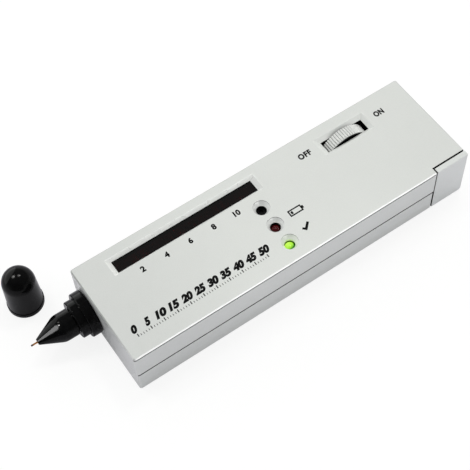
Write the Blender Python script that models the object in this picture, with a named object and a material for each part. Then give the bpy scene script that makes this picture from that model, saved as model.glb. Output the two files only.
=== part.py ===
"""Hand-held diamond tester, lying flat with its probe cap taken off.

Metres, +Z up. The probe points along -X, the battery end is at +X, and the battery door is on the -Y side.
The origin is the middle of the case's flat underside.
"""
import math

import bmesh
import bpy
from mathutils import Matrix, Vector

# General fits
CLEARANCE = 0.0003
OVERRUN = 0.002
MERGE_DISTANCE = 0.00001
EDGE_BEVEL = 0.0004
FINE_BEVEL = 0.0002

# Case shells
WALL = 0.0017
ROOF = 0.0015
FLOOR = 0.0016
PARTING_HEIGHT = 0.0099
PARTING_GAP = 0.0003
TONGUE_THICKNESS = 0.0007
TONGUE_HEIGHT = 0.0010

# Nine volt block battery with its snap and leads
BATTERY_LENGTH = 0.0464
BATTERY_WIDTH = 0.0265
BATTERY_HEIGHT = 0.0175
BATTERY_EDGE_RADIUS = 0.0016
BATTERY_HEADROOM = 0.00045
TERMINAL_HEIGHT = 0.0018
TERMINAL_INSET = 0.0069
STUD_RADIUS = 0.0029
CROWN_RADIUS = 0.0042
CROWN_BORE_RADIUS = 0.0030
CROWN_BORE_DEPTH = 0.0012
SNAP_THICKNESS = 0.0038
SNAP_SIDE_MARGIN = 0.00075
SNAP_TOP_MARGIN = 0.00255
SNAP_CORNER_RADIUS = 0.0012
LEAD_RADIUS = 0.0006

# Battery door: a side plate, and an end plate that slides in grooves
DOOR_LENGTH = 0.0133
DOOR_LIP = 0.0019
DOOR_LIP_GAP = 0.0005
DOOR_UPPER_GAP = 0.0004
DOOR_LOWER_GAP = 0.00055
DOOR_SLAB = 0.0013
DOOR_BATTERY_GAP = 0.0004
DOOR_OVERLAP = 0.0005
DOOR_CORNER_RADIUS = 0.0010
RAIL_LIP = 0.0007
RAIL_BITE = 0.0004

# Thumbwheel and the potentiometer that it turns
WHEEL_WIDTH = 0.0042
WHEEL_PROUD = 0.00065
WHEEL_FLOOR_GAP = 0.0008
WHEEL_SIDE_ROOM = 0.0008
WHEEL_SETBACK = 0.0290
WHEEL_RIB_DEPTH = 0.00035
WHEEL_RIM = 0.0010
WHEEL_NEAR_DISH = 0.0012
WHEEL_FAR_DISH = 0.0009
WHEEL_HUB_RADIUS = 0.0034
WHEEL_SCREW_WEB = 0.0008
POT_DEPTH = 0.0040
POT_HEADROOM = 0.00045
POT_RIM_STEP = 0.0005
SHAFT_RADIUS = 0.0020
SHAFT_DEPTH = 0.0022
WHEEL_SCREW_HEAD_RADIUS = 0.0017
WHEEL_SCREW_HEAD_HEIGHT = 0.0008
WHEEL_SCREW_RADIUS = 0.0007
WHEEL_SCREW_LENGTH = 0.0024
BLADE_LENGTH = 0.0039
BLADE_ROOT = 0.0005
BLADE_WIDTH = 0.0007
BLADE_THICKNESS = 0.0003
BLADE_PITCH = 0.0012

# Switch slot in the top face
SLOT_LENGTH = 0.0174
SLOT_BEVEL_NEAR = 0.00135
SLOT_BEVEL_FAR = 0.0015
SLOT_BEVEL_FRONT = 0.0023
SLOT_BEVEL_REAR = 0.0015

# Display: bevelled opening, window and lamp row
DISPLAY_LENGTH = 0.05555
DISPLAY_WIDTH = 0.0048
DISPLAY_MARGIN = 0.00455
DISPLAY_INSET = 0.00145
DISPLAY_BEVEL_NEAR = 0.0011
DISPLAY_BEVEL_FAR = 0.00095
DISPLAY_BEVEL_FRONT = 0.0018
DISPLAY_BEVEL_REAR = 0.0017
WINDOW_BORDER = 0.0008
WINDOW_THICKNESS = 0.0012
WINDOW_RIB = 0.0008
WINDOW_RIB_HEIGHT = 0.0010
LED_HOUSING_HEIGHT = 0.00385
LED_WALL = 0.0007
LED_STRIP_THICKNESS = 0.0006
LED_BODY_SHORTFALL = 0.0004

# Lamp and sound holes
LAMP_SETBACK = 0.00345
LAMP_WELL_TOP_RADIUS = 0.00303
LAMP_WELL_BORE_RADIUS = 0.00187
LAMP_WELL_DEPTH = 0.0025
LAMP_COLLAR_WALL = 0.0013
LAMP_RADIUS = 0.0016
LAMP_FLANGE_RADIUS = 0.0019
LAMP_FLANGE_HEIGHT = 0.0010
LAMP_RECESS = 0.0020
BUZZER_RADIUS = 0.0044
BUZZER_HEIGHT = 0.0036
BUZZER_HOLE_RADIUS = 0.0010
BUZZER_HOLE_DEPTH = 0.0008

# Circuit board and what stands on it
PROBE_ROOM = 0.0115
BOARD_TAIL = 0.0045
BOARD_THICKNESS = 0.0016
BOARD_SIDE_GAP = 0.0009
TONGUE_END_GAP = 0.0006
DRIVER_LENGTH = 0.0228
AMPLIFIER_LENGTH = 0.0094
CHIP_WIDTH = 0.0064
CHIP_HEIGHT = 0.0031
CHIP_STANDOFF = 0.0005
CHIP_LEG_PITCH = 0.00254
CHIP_LEG_WIDTH = 0.0006
CHIP_LEG_THICKNESS = 0.0003
CHIP_LEG_REACH = 0.0008
CHIP_NOTCH_RADIUS = 0.0009
CAPACITOR_RADIUS = 0.0020
CAPACITOR_HEIGHT = 0.0046
CAPACITOR_GROOVE = 0.0002
CAPACITOR_GROOVE_LIFT = 0.0008
CAPACITOR_GROOVE_HEIGHT = 0.0008
RESISTOR_LENGTH = 0.0040
RESISTOR_RADIUS = 0.0008
RESISTOR_LEAD_RADIUS = 0.00025
RESISTOR_LEAD_LENGTH = 0.0012
TRIMMER_SIZE = 0.0050
TRIMMER_HEIGHT = 0.0036
TRIMMER_SCREW_RADIUS = 0.0015
TRIMMER_SCREW_HEIGHT = 0.0005
TRIMMER_SLOT_WIDTH = 0.0006
TRIMMER_SLOT_DEPTH = 0.0004

# Screws and their posts
POST_RADIUS = 0.0024
POST_INSET = 0.0029
FRONT_POST_INSET = 0.0065
REAR_POST_INSET = 0.0100
LEAD_BAY = 0.0022
STOP_RIB = 0.0012
STOP_RIB_WIDTH = 0.0045
GUIDE_RIB = 0.0011
GUIDE_RIB_GAP = 0.0003
RIB_DROP = 0.0010
SADDLE_LENGTH = 0.0080
CASE_SCREW_RADIUS = 0.0009
CASE_SCREW_HEAD_RADIUS = 0.0018
CASE_SCREW_HEAD_HEIGHT = 0.0014
CASE_SCREW_HEAD_DEPTH = 0.0026
CASE_SCREW_REACH = 0.0060
CROSS_LENGTH = 0.0020
CROSS_WIDTH = 0.0005
CROSS_DEPTH = 0.0007
BOSS_RADIUS = 0.0021
BOARD_SCREW_RADIUS = 0.0007
BOARD_SCREW_HEAD_RADIUS = 0.0016
BOARD_SCREW_HEAD_HEIGHT = 0.0011
BOARD_SCREW_REACH = 0.0030

# Probe, measured outwards from the case's front face
COLLAR_RADIUS = 0.0081
COLLAR_LENGTH = 0.00375
COLLAR_EDGE_MARGIN = 0.00253
STEP_RADIUS = 0.0067
STEP_LENGTH = 0.00285
NECK_RADIUS = 0.0060
INNER_FLANGE_RADIUS = 0.0071
INNER_FLANGE = 0.0014
COLLAR_TUBE_RADIUS = 0.0056
COLLAR_TUBE_LENGTH = 0.0046
SPIGOT_RADIUS = 0.0039
SPIGOT_LENGTH = 0.0056
NOSE_RADIUS = 0.0049
NOSE_CYLINDER = 0.0050
NOSE_SHOULDER_RADIUS = 0.0009
NOSE_CONE = 0.0080
NOSE_TIP_RADIUS = 0.00105
PIN_RADIUS = 0.0003
PIN_STICKOUT = 0.0027
PLUNGER_RADIUS = 0.0022
PLUNGER_LENGTH = 0.0060
PLUNGER_FRONT_WALL = 0.0016
PLUNGER_BORE_RADIUS = 0.0015
HEATER_RADIUS = 0.0011
HEATER_LENGTH = 0.0026
SPRING_WIRE_RADIUS = 0.00018
SPRING_RADIUS = 0.00185
SPRING_LENGTH = 0.0080
SPRING_PITCH = 0.0010
PLUG_REAR_WALL = 0.0040
PROBE_LEAD_RADIUS = 0.00035
PROBE_LEAD_OFFSET = 0.0007
PROBE_PAD_INSET = 0.0025
PROBE_PAD_OFFSET = 0.0010

# Probe cap, standing on its open end beside the probe
CAP_FORWARD = 0.01485
CAP_ASIDE = 0.03055
CAP_HEIGHT = 0.0191
CAP_FOOT_RADIUS = 0.00643
CAP_FOOT_HEIGHT = 0.0017
CAP_WAIST_RADIUS = 0.00622
CAP_DOME_RADIUS = 0.00578
CAP_CROWN_THICKNESS = 0.0012

# Counts and angles
TURNED_SIDES = 36
LAMP_SIDES = 20
SMALL_SIDES = 14
FINE_SIDES = 10
CROWN_SIDES = 6
RIB_COUNT = 60
LED_COUNT = 12
DRIVER_LEGS_A_SIDE = 9
AMPLIFIER_LEGS_A_SIDE = 4
UPPER_BLADE_COUNT = 3
LOWER_BLADE_COUNT = 2
DOME_STEPS = 5
SPRING_POINTS = 10
ROUTE_STEPS = 3
SHARP_ANGLE = math.radians(32)
NOSE_SHOULDER_ANGLE = 40
RIB_TURN_ANGLE = math.radians(1)

# Places on the circuit board, as shares of its length and of its free width
DRIVER_SHARES = (0.43, 0.72)
AMPLIFIER_SHARES = (0.20, 0.30)
TRIMMER_SHARES = ((0.46, 0.17), (0.58, 0.17))
CAPACITOR_SHARES = ((0.06, 0.80), (0.70, 0.64), (0.71, 0.34))
RESISTOR_SHARES = tuple((0.33 + 0.05 * step, 0.42) for step in range(6))
BOARD_SCREW_SHARES = ((0.08, 0.12), (0.73, 0.12))
TONGUE_SCREW_SHARE = 0.62
RIB_FLANK_SHARE = 0.30

# Sound hole and lamps, as shares of the way from the display to the near side
SOUND_HOLE_SHARE = 0.2235
LOW_BATTERY_SHARE = 0.4888
READY_SHARE = 0.7540

# Battery leads, as shares of the snap's width from its middle
RED_LEAD_SHARE = -0.12
BLACK_LEAD_SHARE = 0.10

# Heights of the case, from what it has to hold
roof_underside = FLOOR + CLEARANCE + BATTERY_HEIGHT + BATTERY_HEADROOM
case_height = roof_underside + ROOF
battery_middle_height = FLOOR + CLEARANCE + BATTERY_HEIGHT / 2
window_top = roof_underside - CLEARANCE
window_bottom = window_top - WINDOW_THICKNESS
board_top = window_bottom - CLEARANCE - LED_HOUSING_HEIGHT - CLEARANCE
board_bottom = board_top - BOARD_THICKNESS
seat_height = board_top + CLEARANCE
top_shell_foot = PARTING_HEIGHT + PARTING_GAP / 2
bottom_shell_head = PARTING_HEIGHT - PARTING_GAP / 2

# Widths of the case, from the near side to the far side
case_width = (
    DOOR_LIP + CLEARANCE + BATTERY_WIDTH + WHEEL_SIDE_ROOM + WHEEL_WIDTH
    + CLEARANCE + POT_DEPTH + CLEARANCE + WALL
)
near_side = -case_width / 2
far_side = case_width / 2
near_inner = near_side + WALL
far_inner = far_side - WALL
battery_near = near_side + DOOR_LIP + CLEARANCE
battery_far = battery_near + BATTERY_WIDTH
battery_middle = battery_near + BATTERY_WIDTH / 2
snap_width = BATTERY_WIDTH - 2 * SNAP_SIDE_MARGIN
stud_y = battery_near + TERMINAL_INSET
crown_y = battery_far - TERMINAL_INSET
wheel_near = battery_far + WHEEL_SIDE_ROOM
wheel_far = wheel_near + WHEEL_WIDTH
pot_near = wheel_far + CLEARANCE
pot_far = pot_near + POT_DEPTH

# Lengths of the case, from the probe end to the battery end
case_length = (
    PROBE_ROOM + DISPLAY_INSET + DISPLAY_LENGTH + BOARD_TAIL + CLEARANCE + 2 * POST_RADIUS
    + LEAD_BAY + STOP_RIB + CLEARANCE + SNAP_THICKNESS + CLEARANCE + BATTERY_LENGTH
    + DOOR_BATTERY_GAP + DOOR_SLAB + CLEARANCE + RAIL_LIP
)
front = -case_length / 2
rear = case_length / 2
board_front = front + PROBE_ROOM
display_front = board_front + DISPLAY_INSET
display_rear = display_front + DISPLAY_LENGTH
board_rear = display_rear + BOARD_TAIL
middle_post_x = board_rear + CLEARANCE + POST_RADIUS
stop_rib_front = middle_post_x + POST_RADIUS + LEAD_BAY
snap_front = stop_rib_front + STOP_RIB + CLEARANCE
snap_rear = snap_front + SNAP_THICKNESS
battery_front = snap_rear + CLEARANCE
battery_rear = battery_front + BATTERY_LENGTH
slab_front = battery_rear + DOOR_BATTERY_GAP
slab_rear = slab_front + DOOR_SLAB
door_front = rear - DOOR_LENGTH

# Display, lamps and wheel
display_far = far_side - DISPLAY_MARGIN
display_near = display_far - DISPLAY_WIDTH
lamp_x = display_rear - LAMP_SETBACK
sound_hole_y = display_near + (near_side - display_near) * SOUND_HOLE_SHARE
low_battery_y = display_near + (near_side - display_near) * LOW_BATTERY_SHARE
ready_y = display_near + (near_side - display_near) * READY_SHARE
lamp_places = ((lamp_x, sound_hole_y), (lamp_x, low_battery_y), (lamp_x, ready_y))
lamp_collar_radius = LAMP_WELL_BORE_RADIUS + LAMP_COLLAR_WALL
lamp_collar_foot = case_height - LAMP_WELL_DEPTH
wheel_radius = (case_height + WHEEL_PROUD - FLOOR - WHEEL_FLOOR_GAP) / 2
wheel_x = rear - WHEEL_SETBACK
wheel_z = FLOOR + WHEEL_FLOOR_GAP + wheel_radius
wheel_axis_place = Vector((wheel_x, wheel_near, wheel_z))
pot_radius = roof_underside - wheel_z - POT_HEADROOM
shaft_bore_radius = SHAFT_RADIUS + CLEARANCE
screw_bore_radius = WHEEL_SCREW_RADIUS + CLEARANCE
shaft_near = WHEEL_NEAR_DISH + WHEEL_SCREW_WEB + CLEARANCE
shaft_far = WHEEL_WIDTH + CLEARANCE + SHAFT_DEPTH
tongue_near = battery_far + WHEEL_SIDE_ROOM
tongue_end = wheel_x - wheel_radius - TONGUE_END_GAP
board_near = near_inner + BOARD_SIDE_GAP
board_far = far_inner - BOARD_SIDE_GAP
window_near = display_near - WINDOW_BORDER
window_far = display_far + WINDOW_BORDER
window_front = display_front - WINDOW_BORDER
window_rear = display_rear + WINDOW_BORDER

# Probe
probe_y = far_side - COLLAR_RADIUS - COLLAR_EDGE_MARGIN
probe_z = PARTING_HEIGHT
step_face = -COLLAR_LENGTH - STEP_LENGTH
nose_rear = step_face - CLEARANCE
nose_shoulder = nose_rear - NOSE_CYLINDER
nose_tip = nose_shoulder - NOSE_CONE
spigot_rear = nose_rear + SPIGOT_LENGTH
collar_bore_radius = SPIGOT_RADIUS + CLEARANCE
plunger_bore_radius = PLUNGER_RADIUS + CLEARANCE
pin_hole_radius = PIN_RADIUS + CLEARANCE
plunger_seat = nose_shoulder - CLEARANCE
plunger_front = plunger_seat + CLEARANCE
plunger_rear = plunger_front + PLUNGER_LENGTH
pin_front = nose_tip - PIN_STICKOUT
pin_rear = plunger_front + PLUNGER_FRONT_WALL
heater_front = pin_rear + CLEARANCE
spring_front = plunger_rear + CLEARANCE
spring_rear = spring_front + SPRING_LENGTH
plug_front = spigot_rear + CLEARANCE
plug_seat = spring_rear + CLEARANCE
plug_rear = plug_seat + PLUG_REAR_WALL
flange_front = WALL + CLEARANCE
flange_rear = flange_front + INNER_FLANGE
tube_rear = flange_rear + COLLAR_TUBE_LENGTH

# Screw posts: three stand clear of the probe, the battery and the wheel
near_post_y = near_inner + POST_INSET
far_post_y = far_inner - POST_INSET
post_places = (
    (front + FRONT_POST_INSET, near_post_y),
    (middle_post_x, near_post_y),
    (middle_post_x, far_post_y),
    (rear - REAR_POST_INSET, far_post_y),
)
screw_head_seat = CASE_SCREW_HEAD_DEPTH
screw_tip = top_shell_foot + CASE_SCREW_REACH

TURN_TO_X = (0, math.pi / 2, 0)
TURN_TO_Y = (-math.pi / 2, 0, 0)
TURN_TO_FRONT = (0, -math.pi / 2, 0)


def clear_scene():
    for thing in list(bpy.data.objects):
        bpy.data.objects.remove(thing, do_unlink=True)


def finish(name, colour, roughness, metallic=0.0, glow=0.0):
    """Principled material with one plain colour."""
    material = bpy.data.materials.new(name + "_finish")
    material.use_nodes = True
    shader = material.node_tree.nodes["Principled BSDF"]
    shader.inputs["Base Color"].default_value = (*colour, 1)
    shader.inputs["Roughness"].default_value = roughness
    shader.inputs["Metallic"].default_value = metallic
    shader.inputs["Emission Color"].default_value = (*colour, 1)
    shader.inputs["Emission Strength"].default_value = glow
    material.diffuse_color = (*colour, 1)
    return material


def silver_paint(name):
    return finish(name, (0.68, 0.69, 0.66), 0.38, 0.25)


def black_gloss(name):
    return finish(name, (0.006, 0.006, 0.007), 0.12)


def bare_metal(name):
    return finish(name, (0.62, 0.62, 0.60), 0.30, 1.0)


def make_object(name, form, material, smooth=False, place=(0, 0, 0), turn=(0, 0, 0)):
    """Turns a bmesh into an object, with its normals pointing out."""
    bmesh.ops.recalc_face_normals(form, faces=form.faces)
    mesh = bpy.data.meshes.new(name)
    form.to_mesh(mesh)
    form.free()
    if smooth:
        mesh.shade_smooth()
        mesh.set_sharp_from_angle(angle=SHARP_ANGLE)
    piece = bpy.data.objects.new(name, mesh)
    if material:
        mesh.materials.append(material)
    piece.location = place
    piece.rotation_euler = turn
    bpy.context.collection.objects.link(piece)
    return piece


def make_tool(name, form, place=(0, 0, 0), turn=(0, 0, 0)):
    """An object that only cuts or adds to another."""
    tool = make_object(name, form, None, False, place, turn)
    tool.hide_render = True
    tool.display_type = "WIRE"
    return tool


def use_tool(piece, tool, operation):
    modifier = piece.modifiers.new(tool.name, "BOOLEAN")
    modifier.operation = operation
    modifier.solver = "EXACT"
    modifier.object = tool


def cut(piece, tool):
    use_tool(piece, tool, "DIFFERENCE")


def add(piece, tool):
    use_tool(piece, tool, "UNION")


def axis_empty(name, place):
    """An empty on a joint's axis, which carries the pieces that move with it."""
    empty = bpy.data.objects.new(name, None)
    empty.location = place
    bpy.context.collection.objects.link(empty)
    return empty


def carry(empty, *pieces):
    for piece in pieces:
        piece.parent = empty
        piece.matrix_parent_inverse = Matrix.Translation(-Vector(empty.location))


def block(low, high):
    """Box between two corners."""
    form = bmesh.new()
    size = Vector(high) - Vector(low)
    middle = (Vector(high) + Vector(low)) / 2
    bmesh.ops.create_cube(form, size=1)
    bmesh.ops.scale(form, vec=size, verts=form.verts)
    bmesh.ops.translate(form, vec=middle, verts=form.verts)
    return form


def edges_along(form, axis):
    """Edges that run along an axis, 0 to 2 for X to Z."""
    return [edge for edge in form.edges
            if abs(edge.verts[0].co[axis] - edge.verts[1].co[axis]) > MERGE_DISTANCE]


def edges_at(form, level):
    """Edges that lie in the flat face at a height."""
    return [edge for edge in form.edges
            if all(abs(vert.co.z - level) < MERGE_DISTANCE for vert in edge.verts)]


def bevelled(form, edges, width, segments=2):
    bmesh.ops.bevel(
        form, geom=edges, offset=width, offset_type="OFFSET", segments=segments,
        profile=0.5, affect="EDGES", clamp_overlap=True,
    )
    return form


def tapered_well(low, high, bottom, top, margins):
    """Cutter whose walls lean out towards the top, by a margin for each side."""
    front_margin, rear_margin, near_margin, far_margin = margins
    depth = top - bottom
    form = bmesh.new()
    rings = []
    for height in (bottom - OVERRUN, bottom, top, top + OVERRUN):
        lean = min(max(height - bottom, 0), depth) / depth
        x_low = low[0] - front_margin * lean
        x_high = high[0] + rear_margin * lean
        y_low = low[1] - near_margin * lean
        y_high = high[1] + far_margin * lean
        corners = ((x_low, y_low), (x_high, y_low), (x_high, y_high), (x_low, y_high))
        rings.append([form.verts.new((x, y, height)) for x, y in corners])
    for lower, upper in zip(rings, rings[1:]):
        for side in range(4):
            after = (side + 1) % 4
            form.faces.new((lower[side], lower[after], upper[after], upper[side]))
    form.faces.new(rings[0])
    form.faces.new(rings[-1])
    return form


def prism(outline, depth, lift=0):
    """Flat outline in XY, extruded along +Z from the lift."""
    form = bmesh.new()
    face = form.faces.new([form.verts.new((x, y, lift)) for x, y in outline])
    grown = bmesh.ops.extrude_face_region(form, geom=[face])["geom"]
    verts = [item for item in grown if isinstance(item, bmesh.types.BMVert)]
    bmesh.ops.translate(form, vec=(0, 0, depth), verts=verts)
    return form


def turned(profile, sides=TURNED_SIDES, ring=False):
    """Spins a profile of (radius, height) points about Z. A ring's profile closes on itself."""
    form = bmesh.new()
    verts = [form.verts.new((radius, 0, height)) for radius, height in profile]
    pairs = list(zip(verts, verts[1:]))
    if ring:
        pairs.append((verts[-1], verts[0]))
    edges = [form.edges.new(pair) for pair in pairs]
    bmesh.ops.spin(
        form, geom=verts + edges, cent=(0, 0, 0), axis=(0, 0, 1), dvec=(0, 0, 0),
        angle=2 * math.pi, steps=sides, use_merge=True, use_duplicate=False,
    )
    bmesh.ops.remove_doubles(form, verts=form.verts, dist=MERGE_DISTANCE)
    return form


def rod(radius, low, high, sides=SMALL_SIDES):
    return turned(((0, low), (radius, low), (radius, high), (0, high)), sides)


def arc(centre, radius, start, end, steps):
    """Points of an arc, angles in degrees."""
    points = []
    for step in range(steps + 1):
        angle = math.radians(start + (end - start) * step / steps)
        points.append((centre[0] + radius * math.cos(angle), centre[1] + radius * math.sin(angle)))
    return points


def gathered(forms):
    """Joins separate bodies into one mesh. Each entry is a bmesh and the matrix that places it."""
    whole = bmesh.new()
    for form, place in forms:
        loose = bpy.data.meshes.new("loose")
        form.transform(place)
        bmesh.ops.recalc_face_normals(form, faces=form.faces)
        form.to_mesh(loose)
        form.free()
        whole.from_mesh(loose)
        bpy.data.meshes.remove(loose)
    return whole


def shifted(x, y, z=0):
    return Matrix.Translation((x, y, z))


def rods_at(places, radius, low, high, sides=SMALL_SIDES):
    """Upright rods of one size, one at each (x, y) place."""
    return [(rod(radius, low, high, sides), shifted(x, y)) for x, y in places]


def turned_at(places, profile, sides):
    """The same turned form at each (x, y) place."""
    return [(turned(profile, sides), shifted(x, y)) for x, y in places]


def smooth_route(points, steps):
    """Even points of a smooth curve that passes through every chosen point."""
    knots = [Vector(point) for point in points]
    knots = [2 * knots[0] - knots[1]] + knots + [2 * knots[-1] - knots[-2]]
    route = []
    for index in range(1, len(knots) - 2):
        before, start, end, after = knots[index - 1:index + 3]
        for step in range(steps):
            share = step / steps
            route.append(0.5 * (
                2 * start + (end - before) * share
                + (2 * before - 5 * start + 4 * end - after) * share ** 2
                + (3 * start - before - 3 * end + after) * share ** 3
            ))
    route.append(knots[-2])
    return route


def wire(name, route, radius, material, resolution=2):
    """Round wire with closed ends along a route."""
    curve = bpy.data.curves.new(name, "CURVE")
    curve.dimensions = "3D"
    curve.bevel_depth = radius
    curve.bevel_resolution = resolution
    curve.use_fill_caps = True
    spline = curve.splines.new("POLY")
    spline.points.add(len(route) - 1)
    for point, place in zip(spline.points, route):
        point.co = (*place, 1)
    curve.materials.append(material)
    piece = bpy.data.objects.new(name, curve)
    bpy.context.collection.objects.link(piece)
    return piece


def board_place(shares):
    """World place on the board's free area for a pair of shares."""
    free_far = window_near - CLEARANCE
    x = board_front + (board_rear - board_front) * shares[0]
    y = board_near + (free_far - board_near) * shares[1]
    return x, y


board_screw_places = [board_place(shares) for shares in BOARD_SCREW_SHARES]
board_screw_places.append((
    middle_post_x + (tongue_end - middle_post_x) * TONGUE_SCREW_SHARE,
    (tongue_near + board_far) / 2,
))


def shell_block(low, high, outer_level):
    """Outer block of a shell, with its four upright corners and its outer face's rim eased."""
    form = block((front, near_side, low), (rear, far_side, high))
    return bevelled(form, edges_along(form, 2) + edges_at(form, outer_level), EDGE_BEVEL)


def cut_battery_end(shell, name, low, high, side_gap):
    """Opens a shell's near rear corner for the battery door, and its rear end for the battery."""
    side = block(
        (door_front - side_gap, near_side - OVERRUN, low - OVERRUN),
        (rear + OVERRUN, near_side + DOOR_LIP + DOOR_LIP_GAP, high + OVERRUN),
    )
    cut(shell, make_tool(name + "_side_cut", side))
    mouth_far = battery_far + DOOR_OVERLAP
    mouth = block(
        (slab_front - OVERRUN, near_side - OVERRUN, FLOOR),
        (rear + OVERRUN, mouth_far, roof_underside),
    )
    cut(shell, make_tool(name + "_mouth_cut", mouth))
    groove_bite = RAIL_BITE + CLEARANCE
    groove = block(
        (slab_front - CLEARANCE, near_side - OVERRUN, FLOOR - groove_bite),
        (slab_rear + CLEARANCE, mouth_far + groove_bite, roof_underside + groove_bite),
    )
    cut(shell, make_tool(name + "_groove_cut", groove))


def probe_place(distance=0):
    return (front + distance, probe_y, probe_z)


def cut_neck(shell, name):
    """Half round seat for the collar's neck in a shell's front wall."""
    neck = rod(NECK_RADIUS + CLEARANCE, -OVERRUN, WALL + OVERRUN, TURNED_SIDES)
    cut(shell, make_tool(name + "_neck_cut", neck, probe_place(), TURN_TO_X))


def hollow_top_shell(shell):
    room = block(
        (front + WALL, near_inner, top_shell_foot - OVERRUN),
        (rear - WALL, far_inner, roof_underside),
    )
    cut(shell, make_tool("top_room", room))
    rebate = TONGUE_THICKNESS + CLEARANCE
    rebate_room = block(
        (front + WALL - rebate, near_inner - rebate, top_shell_foot - OVERRUN),
        (rear - WALL + rebate, far_inner + rebate, PARTING_HEIGHT + TONGUE_HEIGHT + CLEARANCE),
    )
    cut(shell, make_tool("top_rebate", rebate_room))


def stiffen_top_shell(shell):
    """Screw posts, board bosses and lamp collars under the roof, and the ribs beside the window."""
    root = roof_underside + ROOF / 2
    posts = rods_at(post_places, POST_RADIUS, top_shell_foot, root)
    posts += rods_at(board_screw_places, BOSS_RADIUS, seat_height, root)
    posts += rods_at(lamp_places, lamp_collar_radius, lamp_collar_foot, root, LAMP_SIDES)
    add(shell, make_tool("top_posts", gathered(posts)))
    ribs = []
    for y in (window_near - CLEARANCE - WINDOW_RIB, window_far + CLEARANCE):
        rib = block(
            (display_front, y, roof_underside - WINDOW_RIB_HEIGHT),
            (display_rear, y + WINDOW_RIB, root),
        )
        ribs.append((rib, Matrix()))
    add(shell, make_tool("window_ribs", gathered(ribs)))


def bore_top_shell(shell):
    bore_foot = top_shell_foot - OVERRUN
    bores = rods_at(post_places, CASE_SCREW_RADIUS + CLEARANCE, bore_foot, screw_tip + CLEARANCE)
    boss_bore_top = seat_height + BOARD_SCREW_REACH + CLEARANCE
    bores += rods_at(board_screw_places, BOARD_SCREW_RADIUS + CLEARANCE, seat_height - OVERRUN,
                     boss_bore_top, FINE_SIDES)
    cut(shell, make_tool("top_bores", gathered(bores)))


def open_top_face(shell):
    """The round wells of the lamps, and the bevelled wells of the display and of the thumbwheel."""
    above = case_height + OVERRUN
    below = lamp_collar_foot - OVERRUN
    well_profile = (
        (0, below),
        (LAMP_WELL_BORE_RADIUS, below),
        (LAMP_WELL_BORE_RADIUS, lamp_collar_foot),
        (LAMP_WELL_TOP_RADIUS, case_height),
        (LAMP_WELL_TOP_RADIUS, above),
        (0, above),
    )
    wells = turned_at(lamp_places, well_profile, 2 * SMALL_SIDES)
    cut(shell, make_tool("lamp_wells", gathered(wells)))
    display_well = tapered_well(
        (display_front, display_near), (display_rear, display_far), roof_underside, case_height,
        (DISPLAY_BEVEL_FRONT, DISPLAY_BEVEL_REAR, DISPLAY_BEVEL_NEAR, DISPLAY_BEVEL_FAR),
    )
    cut(shell, make_tool("display_well", display_well))
    slot_well = tapered_well(
        (wheel_x - SLOT_LENGTH / 2, wheel_near - CLEARANCE),
        (wheel_x + SLOT_LENGTH / 2, wheel_far + CLEARANCE),
        roof_underside, case_height,
        (SLOT_BEVEL_FRONT, SLOT_BEVEL_REAR, SLOT_BEVEL_NEAR, SLOT_BEVEL_FAR),
    )
    cut(shell, make_tool("slot_well", slot_well))


def make_top_shell():
    outer = shell_block(top_shell_foot, case_height, case_height)
    shell = make_object("top_shell", outer, silver_paint("top_shell"))
    hollow_top_shell(shell)
    stiffen_top_shell(shell)
    bore_top_shell(shell)
    open_top_face(shell)
    cut_neck(shell, "top")
    cut_battery_end(shell, "top", top_shell_foot, case_height, DOOR_UPPER_GAP)


def hollow_bottom_shell(shell):
    frame = block(
        (front + WALL - TONGUE_THICKNESS, near_inner - TONGUE_THICKNESS, FLOOR),
        (rear - WALL + TONGUE_THICKNESS, far_inner + TONGUE_THICKNESS, PARTING_HEIGHT + TONGUE_HEIGHT),
    )
    add(shell, make_tool("bottom_tongue", frame))
    room = block(
        (front + WALL, near_inner, FLOOR),
        (rear - WALL, far_inner, PARTING_HEIGHT + TONGUE_HEIGHT + OVERRUN),
    )
    cut(shell, make_tool("bottom_room", room))


def stiffen_bottom_shell(shell):
    """Screw posts, the battery's stop and guide ribs, and the saddle under the potentiometer."""
    post_foot = FLOOR / 2
    rib_head = bottom_shell_head - RIB_DROP
    guide_near = battery_far + GUIDE_RIB_GAP
    guide_far = guide_near + GUIDE_RIB
    wheel_room = wheel_radius + OVERRUN
    saddle_near = pot_near + POT_DEPTH / 4
    blocks = [
        block(
            (battery_front + OVERRUN, guide_near, post_foot),
            (wheel_x - wheel_room, guide_far, rib_head),
        ),
        block(
            (wheel_x + wheel_room, guide_near, post_foot),
            (battery_rear - OVERRUN, guide_far, rib_head),
        ),
        block(
            (wheel_x - SADDLE_LENGTH / 2, saddle_near, post_foot),
            (wheel_x + SADDLE_LENGTH / 2, saddle_near + POT_DEPTH / 2, wheel_z - pot_radius - CLEARANCE),
        ),
    ]
    for y in (battery_near, battery_far - STOP_RIB_WIDTH):
        blocks.append(block(
            (stop_rib_front, y, post_foot),
            (stop_rib_front + STOP_RIB, y + STOP_RIB_WIDTH, rib_head),
        ))
    holders = rods_at(post_places, POST_RADIUS, post_foot, bottom_shell_head)
    holders += [(form, Matrix()) for form in blocks]
    add(shell, make_tool("bottom_holders", gathered(holders)))


def bore_bottom_shell(shell):
    head_bore = CASE_SCREW_HEAD_RADIUS + CLEARANCE
    shank_bore = CASE_SCREW_RADIUS + CLEARANCE
    bore_head = bottom_shell_head + OVERRUN
    bore_profile = (
        (0, -OVERRUN), (head_bore, -OVERRUN), (head_bore, screw_head_seat),
        (shank_bore, screw_head_seat), (shank_bore, bore_head), (0, bore_head),
    )
    bores = turned_at(post_places, bore_profile, SMALL_SIDES)
    cut(shell, make_tool("bottom_bores", gathered(bores)))


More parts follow.
